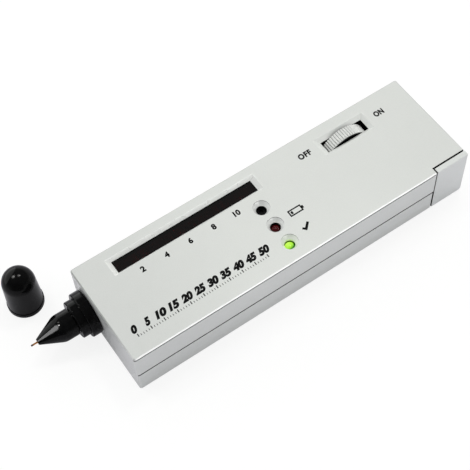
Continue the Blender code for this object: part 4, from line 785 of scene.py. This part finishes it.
# ------------------------------------------------------------------ thumbwheel
RIBS = 60
RIB_DEPTH = 0.42
RIB_TURN = 1.0


def rib_outline(inset):
    """Rounded ribs about the wheel's axis, in the wheel's own XY."""
    points = []
    fine = 10
    for k in range(RIBS * fine):
        u = (k % fine) / fine
        lift = 0.5 - 0.5 * math.cos(2 * math.pi * u)
        lift = min(1.0, 1.25 * lift ** 0.7)
        radius = WHEEL_R - inset - RIB_DEPTH * (1 - lift)
        angle = math.radians(RIB_TURN) + 2 * math.pi * k / (RIBS * fine)
        points.append((radius * math.cos(angle), radius * math.sin(angle)))
    return points


def wheel_paint(name):
    """Silver paint, painted dark in the grooves between the ribs as painted shade."""
    p = Paint(name, (0.86, 0.87, 0.85), 0.34, 0.14, IOR=1.45, Coat_Weight=0.5, Coat_Roughness=0.12, Coat_IOR=1.4)
    away = p.add("ShaderNodeVectorMath", operation="SUBTRACT")
    away.inputs[1].default_value = (WHEEL_X * MM, 0, WHEEL_Z * MM)
    p.link(p.space, away.inputs[0])
    flat = p.add("ShaderNodeVectorMath", operation="MULTIPLY")
    flat.inputs[1].default_value = (1, 0, 1)
    p.link(away.outputs[0], flat.inputs[0])
    length = p.add("ShaderNodeVectorMath", operation="LENGTH")
    p.link(flat.outputs[0], length.inputs[0])
    rise = p.fit(length.outputs["Value"], (WHEEL_R - RIB_DEPTH) * MM, (WHEEL_R - 0.1) * MM)
    # painted shade: dark at the floor of the grooves between the ribs, full silver towards the crests
    p.colour(p.ramp(rise, ((0.0, (0.30, 0.305, 0.30)), (0.25, (0.72, 0.73, 0.71)), (0.60, (0.90, 0.91, 0.89)))))
    p.roughness(p.noise(0.6, 3.0), 0.30, 0.38)
    p.bump(p.noise(0.2, 2.0), 0.08, 0.02)
    return p.material


def make_wheel():
    width = wheel_high.y - wheel_low.y
    edge = 0.22
    rings = []
    for depth, inset in ((0, edge), (edge * 0.35, edge * 0.35), (edge, 0), (width - edge, 0),
                         (width - edge * 0.35, edge * 0.35), (width, edge)):
        rings.append([(x, y, depth) for x, y in rib_outline(inset)])
    dish = WHEEL_R - 1.0
    tools = [
        ("DIFFERENCE", spun(((0, -OVERRUN), (dish, -OVERRUN), (dish, 1.2), (0, 1.2)), 96), Matrix()),
        ("DIFFERENCE", spun(((3.4, width - 0.9), (dish, width - 0.9), (dish, width + OVERRUN), (3.4, width + OVERRUN)), 96, True), Matrix()),
        ("DIFFERENCE", spun(((0, -OVERRUN), (1.0, -OVERRUN), (1.0, 2.0), (2.3, 2.0), (2.3, width + OVERRUN), (0, width + OVERRUN)), 48), Matrix()),
    ]
    piece = carved("ribbed_wheel", tube_of(rings), tools)
    turn = Matrix.Translation((WHEEL_X, wheel_low.y, WHEEL_Z)) @ Matrix.Rotation(-math.pi / 2, 4, "X")
    dressed(piece, "wheel", wheel_paint("silver_wheel"), "silver_paint", "thumbwheel", sharp=40, place=turn)
    piece.data.materials.append(BARE)
    for face in piece.data.polygons:
        away = face.center / MM - Vector((WHEEL_X, 0, WHEEL_Z))
        if math.hypot(away.x, away.z) < WHEEL_R - 0.75:
            face.material_index = 1


# ------------------------------------------------------------------ probe and cap
def make_turned(name, profile, radii, body, material, slot, node, place=ALONG_X, sides=96, closed=True):
    form = spun(softened(profile, radii, 4, closed), sides, closed)
    return dressed(plain_object(name, form), body, material, slot, node, place=place, sharp=40)


def make_probe():
    gloss = black_gloss("gloss_collar")
    make_turned("collar", (
        (4.2, -6.6), (6.7, -6.6), (6.7, -3.75), (8.1, -3.75), (8.1, -0.3), (6.0, -0.3),
        (6.0, 2.0), (7.1, 2.0), (7.1, 3.4), (5.6, 3.4), (5.6, 8.0), (4.2, 8.0),
    ), (0.1, 0.45, 0, 0.45, 0.12, 0, 0, 0, 0, 0, 0, 0), "case", gloss, "black_gloss", "probe_collar")
    make_turned("nose", (
        (0.6, -20.25), (1.05, -20.25), (4.6, -12.7), (4.9, -11.6), (4.9, -6.9), (3.9, -6.9),
        (3.9, -1.3), (2.5, -1.3), (2.5, -12.2), (0.6, -12.2),
    ), (0, 0.18, 1.4, 0.9, 0.1, 0, 0, 0, 0, 0), "case", black_gloss("gloss_nose", 0.10, 0.15, 0.12), "black_gloss", "probe_nose")
    pin_low, pin_high = corners("probe_pin")
    start, end = pin_low.x - FRONT, pin_high.x - FRONT
    make_turned("pin", (
        (0, start), (0.30, start), (0.30, end), (0, end),
    ), (0, 0.22, 0, 0), "tip", copper_pin("copper_pin"), "copper", "probe_pin", sides=32, closed=False)


def copper_pin(name):
    """Copper wire with a dark worn end."""
    low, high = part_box("probe_pin")
    p = Paint(name, (0.80, 0.36, 0.13), 0.3, 1.0)
    place = p.along(0, low.x / MM, low.x / MM + 1.1)
    worn = p.ramp(place, ((0.0, (0.10, 0.06, 0.05)), (0.45, (0.16, 0.08, 0.05)), (0.8, (0.80, 0.36, 0.13))))
    p.colour(worn)
    p.roughness(p.noise(0.2, 3.0), 0.22, 0.38)
    p.bump(p.noise(0.12, 2.0), 0.1, 0.01)
    return p.material


def make_cap():
    """Cap with a stepped foot, a slight taper and a domed end."""
    dome = 5.78
    height = cap_high.z
    outer = [(5.2, 0), (6.43, 0), (6.43, 1.7), (6.22, 1.78)]
    radii = [0.12, 0.15, 0.16, 0.08]
    for step in range(15):
        a = math.radians(90 * step / 14)
        outer.append((max(0.0, dome * math.cos(a)) if step < 14 else 0.0, height - dome + dome * math.sin(a)))
        radii.append(0)
    inner_foot = height - 1.2 - 5.2
    for step in range(15):
        a = math.radians(90 - 90 * step / 14)
        outer.append((5.2 * math.cos(a) if step else 0.0, inner_foot + 5.2 * math.sin(a)))
        radii.append(0)
    form = spun(softened(outer, radii, 4, True), 96, True)
    dressed(plain_object("cap", form), "cap", black_gloss("gloss_cap"), "black_gloss", "probe_cap",
            place=shift(CAP_X, CAP_Y), sharp=40)


# ------------------------------------------------------------------ lamps
def make_lens(name, low, y, material, slot, node):
    height = (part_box(node)[1].z / MM) - low.z
    radius = 1.80
    profile = [(0, 0), (1.9, 0), (1.9, 1.0), (radius, 1.0)]
    radii = [0, 0.1, 0.05, 0]
    foot = height - radius * 0.85
    for step in range(13):
        a = math.radians(90 * step / 12)
        profile.append((radius * math.cos(a) if step < 12 else 0.0, foot + radius * 0.85 * math.sin(a)))
        radii.append(0)
    form = spun(softened(profile, radii, 3, False), 64)
    dressed(plain_object(name, form), "case", material, slot, node, place=shift(WELL_X, y, low.z), sharp=50)


# ------------------------------------------------------------------ prints
def text_mesh(words, height, shear=0.0, bold=0.0, spacing=1.0):
    """Outline of generic figures or words, height millimetres tall, starting at the origin."""
    curve = bpy.data.curves.new("words", "FONT")
    curve.body = words
    curve.shear = shear
    curve.offset = bold
    curve.space_character = spacing
    curve.extrude = 0.01
    curve.resolution_u = 6
    holder = bpy.data.objects.new("words", curve)
    bpy.context.scene.collection.objects.link(holder)
    bpy.context.view_layer.update()
    mesh = bpy.data.meshes.new_from_object(holder.evaluated_get(bpy.context.evaluated_depsgraph_get()))
    bpy.data.objects.remove(holder)
    xs = [v.co.x for v in mesh.vertices]
    ys = [v.co.y for v in mesh.vertices]
    scale = height / (max(ys) - min(ys))
    mesh.transform(Matrix.Diagonal((scale, scale, 1, 1)) @ shift(-min(xs), -min(ys)))
    return mesh, (max(xs) - min(xs)) * scale


INK_LIFT = 0.012


def print_words(name, words, x, y, height, width=None, shear=0.0, bold=0.02, centred=False, spacing=1.0):
    mesh, natural = text_mesh(words, height, shear, bold, spacing)
    if width:
        mesh.transform(Matrix.Diagonal((width / natural, 1, 1, 1)))
        natural = width
    if centred:
        x -= natural / 2
    piece = bpy.data.objects.new(name, mesh)
    bpy.context.scene.collection.objects.link(piece)
    dressed(piece, "case", INK, "black_plastic", place=shift(x, y, TOP + INK_LIFT - 0.01), weighted=False)


def print_bars(name, bars):
    """Printed strokes: each a rectangle (x0, y0, x1, y1) on the top face."""
    form = bmesh.new()
    for x0, y0, x1, y1 in bars:
        bar = block((x0, y0, TOP - 0.008), (x1, y1, TOP + INK_LIFT))
        mesh = bpy.data.meshes.new("bar")
        bar.to_mesh(mesh)
        bar.free()
        form.from_mesh(mesh)
        bpy.data.meshes.remove(mesh)
    dressed(plain_object(name, form), "case", INK, "black_plastic", weighted=False)


def make_prints():
    print_words("print_off", "OFF", 19.3, 11.2, 2.4, 5.1, bold=0.05, spacing=1.12)
    print_words("print_on", "ON", 51.6, 10.7, 2.4, 3.9, bold=0.052, spacing=1.06)
    # a plain millimetre rule takes the title's place
    start, foot = -61.6, -13.7
    bars = []
    for tick in range(51):
        tall = 1.2 if tick % 5 == 0 else 0.7
        half = 0.17 if tick % 5 == 0 else 0.10
        bars.append((start + tick - half, foot, start + tick + half, foot + tall))
    print_bars("rule_ticks", bars)
    for mark in range(0, 51, 5):
        print_words(f"rule_{mark}", str(mark), start + mark, foot + 1.6, 3.1, 4.3 if mark > 9 else 2.2,
                    shear=0.28, bold=0.072, centred=True)
    # even numbers of the lamp row
    pitch = (DISPLAY_REAR - DISPLAY_FRONT) / 12
    for number in range(2, 11, 2):
        x = DISPLAY_FRONT + pitch * (number - 0.5)
        print_words(f"lamp_number_{number}", str(number), x, 5.3, 2.3, bold=0.05, centred=True)
    # battery outline beside the red lamp and a tick beside the green one
    x, y, w, h, t = 3.3, -5.5, 5.2, 2.6, 0.50
    print_bars("battery_symbol", [
        (x, y, x + w, y + t), (x, y + h - t, x + w, y + h), (x, y + t, x + t, y + h - t),
        (x + w - t, y + t, x + w, y + h - t), (x + w, y + h * 0.28, x + w + 0.6, y + h * 0.72),
        (x + 0.8, y + 0.75, x + 1.6, y + h - 0.75),
    ])
    outline = ((0, 1.2), (0.6, 1.75), (1.2, 1.15), (3.0, 2.9), (3.6, 2.25), (1.2, -0.1))
    form = bmesh.new()
    face = form.faces.new([form.verts.new((3.4 + px, -12.6 + py, TOP - 0.008)) for px, py in outline])
    grown = bmesh.ops.extrude_face_region(form, geom=[face])["geom"]
    bmesh.ops.translate(form, vec=(0, 0, INK_LIFT + 0.008), verts=[v for v in grown if isinstance(v, bmesh.types.BMVert)])
    dressed(plain_object("ready_symbol", form), "case", INK, "black_plastic", weighted=False)


# ------------------------------------------------------------------ screws, coil and wires
def make_screws():
    steel = metal("screw_steel", (0.55, 0.55, 0.54), 0.28, 0.42)
    for number, (x, y) in enumerate(POSTS, 1):
        low, high = corners(f"case_screw_{number}")
        head_top = low.z
        seat = 2.3
        profile = softened(
            ((0, head_top), (1.8, head_top), (1.8, seat), (0.9, seat), (0.9, high.z - 0.9), (0, high.z)),
            (0, 0.5, 0.05, 0, 0, 0), 4, False,
        )
        tools = [
            ("DIFFERENCE", block((-1.0, -0.25, head_top - 1), (1.0, 0.25, head_top + 0.7)), Matrix()),
            ("DIFFERENCE", block((-0.25, -1.0, head_top - 1), (0.25, 1.0, head_top + 0.7)), Matrix()),
        ]
        piece = carved(f"screw_{number}", spun(profile, 40), tools)
        dressed(piece, "case", steel, "bare_metal", f"case_screw_{number}", place=shift(x, y) @ Matrix.Rotation(0.4 * number, 4, "Z"))


def make_tube(name, route, radius, body, material, slot, node, sides=12):
    """Round tube along points in millimetres, with closed ends."""
    points = [Vector(p) for p in route]
    rings = []
    side = None
    for index, point in enumerate(points):
        ahead = (points[min(index + 1, len(points) - 1)] - points[max(index - 1, 0)]).normalized()
        if side is None:
            side = ahead.orthogonal().normalized()
        side = (side - ahead * side.dot(ahead)).normalized()
        up = ahead.cross(side)
        rings.append([
            tuple(point + radius * (side * math.cos(2 * math.pi * k / sides) + up * math.sin(2 * math.pi * k / sides)))
            for k in range(sides)
        ])
    return dressed(plain_object(name, tube_of(rings)), body, material, slot, node, sharp=60, weighted=False)


def smooth_route(points, steps=10):
    knots = [Vector(p) for p in points]
    knots = [2 * knots[0] - knots[1]] + knots + [2 * knots[-1] - knots[-2]]
    route = []
    for index in range(1, len(knots) - 2):
        before, start, end, after = knots[index - 1:index + 3]
        for step in range(steps):
            s = step / steps
            route.append(0.5 * (
                2 * start + (end - before) * s
                + (2 * before - 5 * start + 4 * end - after) * s ** 2
                + (3 * start - before - 3 * end + after) * s ** 3
            ))
    route.append(knots[-2])
    return route


def make_coil():
    low, high = corners("probe_spring")
    radius, wire = 1.85, 0.18
    start, end = low.x + wire, high.x - wire
    turns = round(end - start)
    count = turns * 28
    route = []
    for k in range(count + 1):
        a = 2 * math.pi * k / 28
        route.append((start + (end - start) * k / count, PROBE_Y + radius * math.cos(a), PROBE_Z + radius * math.sin(a)))
    coil = make_tube("coil", route, wire, "case", metal("spring_steel", (0.60, 0.60, 0.58)), "bare_metal", "probe_spring", 8)
    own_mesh(coil)


def make_wires():
    red = matt_plastic("sleeve_red", (0.50, 0.012, 0.012), 0.4)
    black = matt_plastic("sleeve_black", (0.012, 0.012, 0.012), 0.4)
    board_top = corners("main_board")[1].z
    snap = corners("battery_snap")[0].x
    battery_z = (corners("battery")[0].z + corners("battery")[1].z) / 2
    for name, node, material, slot in (("lead_red", "battery_lead_red", red, "red_sleeve"),
                                       ("lead_black", "battery_lead_black", black, "black_sleeve")):
        low, high = corners(node)
        y = (low.y + high.y) / 2
        lift = board_top + GAP + 0.6
        route = ((high.x, y, battery_z), (high.x - 2.2, y, battery_z), (8.2, y, (battery_z + lift) / 2),
                 (5.8, y, lift), (low.x, y, lift))
        make_tube(name, smooth_route(route), 0.6, "case", material, slot, node)
    for name, node, side in (("heater_lead_near", "probe_lead_near", -1), ("heater_lead_far", "probe_lead_far", 1)):
        low, high = corners(node)
        y = PROBE_Y + side * 0.7
        pad_y = DISPLAY_NEAR - 0.8 - 2.5 + side * 1.0
        lift = board_top + GAP + 0.35
        plug_rear = corners("probe_plug")[1].x
        route = ((low.x, y, PROBE_Z), (plug_rear, y, PROBE_Z),
                 ((plug_rear + FRONT + 11.5) / 2, (y + pad_y) / 2, (PROBE_Z + lift) / 2),
                 (FRONT + 11.5, pad_y, lift), (high.x, pad_y, lift))
        make_tube(name, smooth_route(route), 0.35, "case", red, "red_sleeve", node)


# ------------------------------------------------------------------ carried-over nodes
def repaint():
    brass = metal("brass", (0.62, 0.44, 0.17))
    steel = metal("bare_steel", (0.62, 0.62, 0.60))
    dark = matt_plastic("dark_moulding", (0.014, 0.014, 0.014), 0.5)
    chip = matt_plastic("chip_epoxy", (0.018, 0.018, 0.019), 0.55, 0.25)
    finishes = {
        "display_window": smoked_window("smoked_acrylic"),
        "display_led_bar": lamp_bar_red("lamp_bar"),
        "led_bar_housing": dark, "buzzer": bare_plastic("buzzer_black"), "pot_body": matt_plastic("pot_phenolic", (0.035, 0.028, 0.022), 0.5),
        "pot_shaft": steel, "wheel_screw": steel, "battery_stud": steel, "battery_crown": steel,
        "board_screw_1": steel, "board_screw_2": steel, "board_screw_3": steel,
        "main_board": circuit_board("solder_resist"),
        "driver_chip": chip, "amplifier_chip": chip,
        "trimmer_1": matt_plastic("trimmer_blue", (0.02, 0.10, 0.36), 0.4), "trimmer_2": matt_plastic("trimmer_blue_2", (0.02, 0.10, 0.36), 0.4),
        "battery": battery_wrap("foil_wrap"),
        "battery_snap": matt_plastic("snap_vinyl", (0.015, 0.015, 0.015), 0.5),
        "probe_plunger": brass,
        "probe_heater": matt_plastic("ceramic", (0.55, 0.52, 0.47), 0.6, 0.06),
        "probe_plug": matt_plastic("pale_plastic", (0.62, 0.62, 0.58), 0.5, 0.05),
    }
    rings = ((0.25, 0.10, 0.04), (0.01, 0.01, 0.01), (0.45, 0.02, 0.02), (0.55, 0.38, 0.08))
    for number in range(1, 7):
        turned = rings[number % 3:] + rings[:number % 3]
        finishes[f"resistor_{number}"] = banded_lacquer(f"lacquer_{number}", f"resistor_{number}", turned)
    for number in range(1, 4):
        finishes[f"capacitor_{number}"] = capacitor_sleeve(f"can_sleeve_{number}", f"capacitor_{number}")
    for name, material in finishes.items():
        mesh = nodes[name].data
        mesh.materials.clear()
        mesh.materials.append(material)


# ------------------------------------------------------------------ stage and light
def make_stage():
    form = bmesh.new()
    reach = 3.0
    face = form.faces.new([form.verts.new(p) for p in ((-reach, -reach, 0), (reach, -reach, 0), (reach, reach, 0), (-reach, reach, 0))])
    mesh = bpy.data.meshes.new("floor")
    form.to_mesh(mesh)
    form.free()
    floor = bpy.data.objects.new("floor", mesh)
    floor.location.z = -0.00005
    bpy.context.scene.collection.objects.link(floor)
    material = bpy.data.materials.new("white_floor")
    material.use_nodes = True
    tree = material.node_tree
    tree.nodes.clear()
    add = tree.nodes.new
    link = tree.links.new
    out = add("ShaderNodeOutputMaterial")
    path = add("ShaderNodeLightPath")
    shown = add("ShaderNodeMath")
    shown.operation = "MAXIMUM"
    link(path.outputs["Is Camera Ray"], shown.inputs[0])
    link(path.outputs["Is Transmission Ray"], shown.inputs[1])
    lit = add("ShaderNodeBsdfDiffuse")
    lit.inputs["Color"].default_value = (0.86, 0.845, 0.90, 1)
    faint = add("ShaderNodeBsdfDiffuse")
    faint.inputs["Color"].default_value = (0.22, 0.22, 0.22, 1)
    glow = add("ShaderNodeEmission")
    glow.inputs["Strength"].default_value = 0.82
    white = add("ShaderNodeAddShader")
    link(faint.outputs[0], white.inputs[0])
    link(glow.outputs[0], white.inputs[1])
    seen = add("ShaderNodeMixShader")
    link(shown.outputs[0], seen.inputs[0])
    link(lit.outputs[0], seen.inputs[1])
    link(white.outputs[0], seen.inputs[2])
    under = add("ShaderNodeNewGeometry")
    touching = add("ShaderNodeMath")
    touching.operation = "LESS_THAN"
    touching.inputs[1].default_value = 0.0001
    link(path.outputs["Ray Length"], touching.inputs[0])
    open_floor = add("ShaderNodeMath")
    open_floor.operation = "MAXIMUM"
    link(under.outputs["Backfacing"], open_floor.inputs[0])
    link(touching.outputs[0], open_floor.inputs[1])
    clear = add("ShaderNodeBsdfTransparent")
    sided = add("ShaderNodeMixShader")
    link(open_floor.outputs[0], sided.inputs[0])
    link(seen.outputs[0], sided.inputs[1])
    link(clear.outputs[0], sided.inputs[2])
    link(sided.outputs[0], out.inputs["Surface"])
    mesh.materials.append(material)


def make_world():
    """A pale, even room; what shines sees it bright along the horizon and dark above."""
    world = bpy.data.worlds.new("studio")
    bpy.context.scene.world = world
    world.use_nodes = True
    tree = world.node_tree
    tree.nodes.clear()
    add = tree.nodes.new
    link = tree.links.new
    space = add("ShaderNodeTexCoord")
    split = add("ShaderNodeSeparateXYZ")
    link(space.outputs["Generated"], split.inputs[0])

    def spread(source, low, high, new_low, new_high):
        node = add("ShaderNodeMapRange")
        node.interpolation_type = "SMOOTHSTEP"
        for key, value in (("From Min", low), ("From Max", high), ("To Min", new_low), ("To Max", new_high)):
            node.inputs[key].default_value = value
        link(source, node.inputs["Value"])
        return node.outputs["Result"]

    def times(first, second):
        node = add("ShaderNodeMath")
        node.operation = "MULTIPLY"
        link(first, node.inputs[0])
        link(second, node.inputs[1])
        return node.outputs[0]

    def toward(x, y, z):
        """How closely the direction looked in agrees with the one given, from -1 to 1."""
        node = add("ShaderNodeVectorMath")
        node.operation = "DOT_PRODUCT"
        link(space.outputs["Generated"], node.inputs[0])
        node.inputs[1].default_value = Vector((x, y, z)).normalized()
        return node.outputs["Value"]

    depth = spread(split.outputs[1], -0.7, 0.7, 0.67, 1.0)
    side = spread(split.outputs[0], -0.9, 0.0, 0.50, 1.0)
    height = spread(split.outputs[2], 0.45, 0.95, 1.0, 0.86)
    # what shines sees a dark ceiling and a dark corner on the viewer's left
    above = spread(split.outputs[2], 0.05, 0.45, 1.0, 0.25)
    corner = spread(toward(-0.46, -0.86, 0.2), 0.70, 0.93, 1.0, 0.10)
    path = add("ShaderNodeLightPath")
    seen_height = add("ShaderNodeMix")
    link(path.outputs["Is Glossy Ray"], seen_height.inputs[0])
    link(height, seen_height.inputs[2])
    link(times(above, corner), seen_height.inputs[3])
    room = add("ShaderNodeBackground")
    room.inputs["Color"].default_value = (0.985, 1.0, 0.985, 1)
    link(times(times(depth, side), seen_height.outputs[0]), room.inputs["Strength"])
    white = add("ShaderNodeBackground")
    white.inputs["Color"].default_value = (1, 1, 1, 1)
    mixed = add("ShaderNodeMixShader")
    link(path.outputs["Is Camera Ray"], mixed.inputs[0])
    link(room.outputs[0], mixed.inputs[1])
    link(white.outputs[0], mixed.inputs[2])
    out = add("ShaderNodeOutputWorld")
    link(mixed.outputs[0], out.inputs["Surface"])


LAMPS = (
    # name, direction, distance in metres, size in metres, radiance, colour
    ("bulb_back", (-0.24, 0.36, 0.90), 0.80, 0.13, 13.0, (1.0, 0.99, 0.97)),
    ("bulb_right", (0.29, 0.16, 0.94), 0.80, 0.13, 16.5, (1.0, 0.99, 0.97)),
    ("panel_left", (-0.79, 0.50, 0.36), 0.90, 0.50, 0.7, (0.97, 0.99, 1.0)),
    ("panel_front", (-0.97, -0.02, 0.16), 0.90, 0.28, 2.0, (0.97, 0.98, 1.0)),
)
# A white card above the viewer, for the gloss of the pale pieces alone: the bright line along the case's edge
EDGE_LAMPS = (
    ("edge_card", (0.277, -0.875, 0.423), 0.82, 0.80, 1.35, (1.0, 1.0, 1.0)),
)
# The pair of bulbs as wider, softer spots for the gloss of the cap alone
CAP_LAMPS = (
    ("cap_spot_back", (-0.24, 0.36, 0.90), 0.80, 0.25, 12.0, (1.0, 1.0, 0.98)),
    ("cap_spot_right", (0.29, 0.16, 0.94), 0.80, 0.19, 9.0, (1.0, 1.0, 0.98)),
)
# What the turned nose alone catches: the streak along its cone and the spot at its shoulder
NOSE_LAMPS = (
    ("streak", (-0.697, -0.004, 0.718), 0.80, 0.50, 19.0, (1.0, 1.0, 1.0)),
    ("shoulder_spot", (-0.33, -0.008, 0.944), 0.80, 0.12, 140.0, (1.0, 1.0, 1.0)),
)


# A wide white wall behind on the left, for the gloss of the black pieces alone
BLACK_LAMPS = (
    ("white_wall", (-0.45, 0.88, 0.10), 0.80, 1.40, 1.5, (0.985, 1.0, 0.985)),
)


def make_lamps(table, centre=(0, 0, 0), lit=()):
    """Round soft lamps around a point. Where lit names pieces, the lamps show in the gloss of those alone."""
    for name, direction, distance, size, radiance, colour in table:
        data = bpy.data.lights.new(name, "AREA")
        data.shape = "DISK"
        data.size = size
        data.energy = radiance * math.pi * math.pi * (size / 2) ** 2
        data.color = colour
        lamp = bpy.data.objects.new(name, data)
        bpy.context.scene.collection.objects.link(lamp)
        away = Vector(direction).normalized()
        lamp.location = Vector(centre) * MM + away * distance
        lamp.rotation_euler = away.to_track_quat("Z", "Y").to_euler()
        if lit:
            lamp.visible_diffuse = False
            chosen = bpy.data.collections.new(name)
            for piece in lit:
                chosen.objects.link(bpy.data.objects[piece])
            lamp.light_linking.receiver_collection = chosen
        elif name.startswith("panel"):
            lamp.visible_glossy = False


INK = ink("print_ink")
BARE = bare_plastic("bare_moulding")
make_top()
make_bottom()
make_door()
make_wheel()
make_probe()
make_cap()
make_lens("low_battery_lens", red_low, WELL_YS[1], red_lens("red_lens"), "red_lamp", "low_battery_lamp")
make_lens("ready_lens", green_low, WELL_YS[2], green_lens("green_lens", (WELL_X, WELL_YS[2])), "green_lamp", "ready_lamp")
make_prints()
make_screws()
make_coil()
make_wires()
repaint()
make_stage()
make_world()
make_lamps(LAMPS)
make_lamps(NOSE_LAMPS, (FRONT - 15, PROBE_Y, PROBE_Z), ("nose",))
make_lamps(EDGE_LAMPS, lit=("upper_case", "battery_cover", "ribbed_wheel"))
make_lamps(CAP_LAMPS, (CAP_X, CAP_Y, 13), ("cap",))
make_lamps(BLACK_LAMPS, lit=("cap", "collar", "nose"))
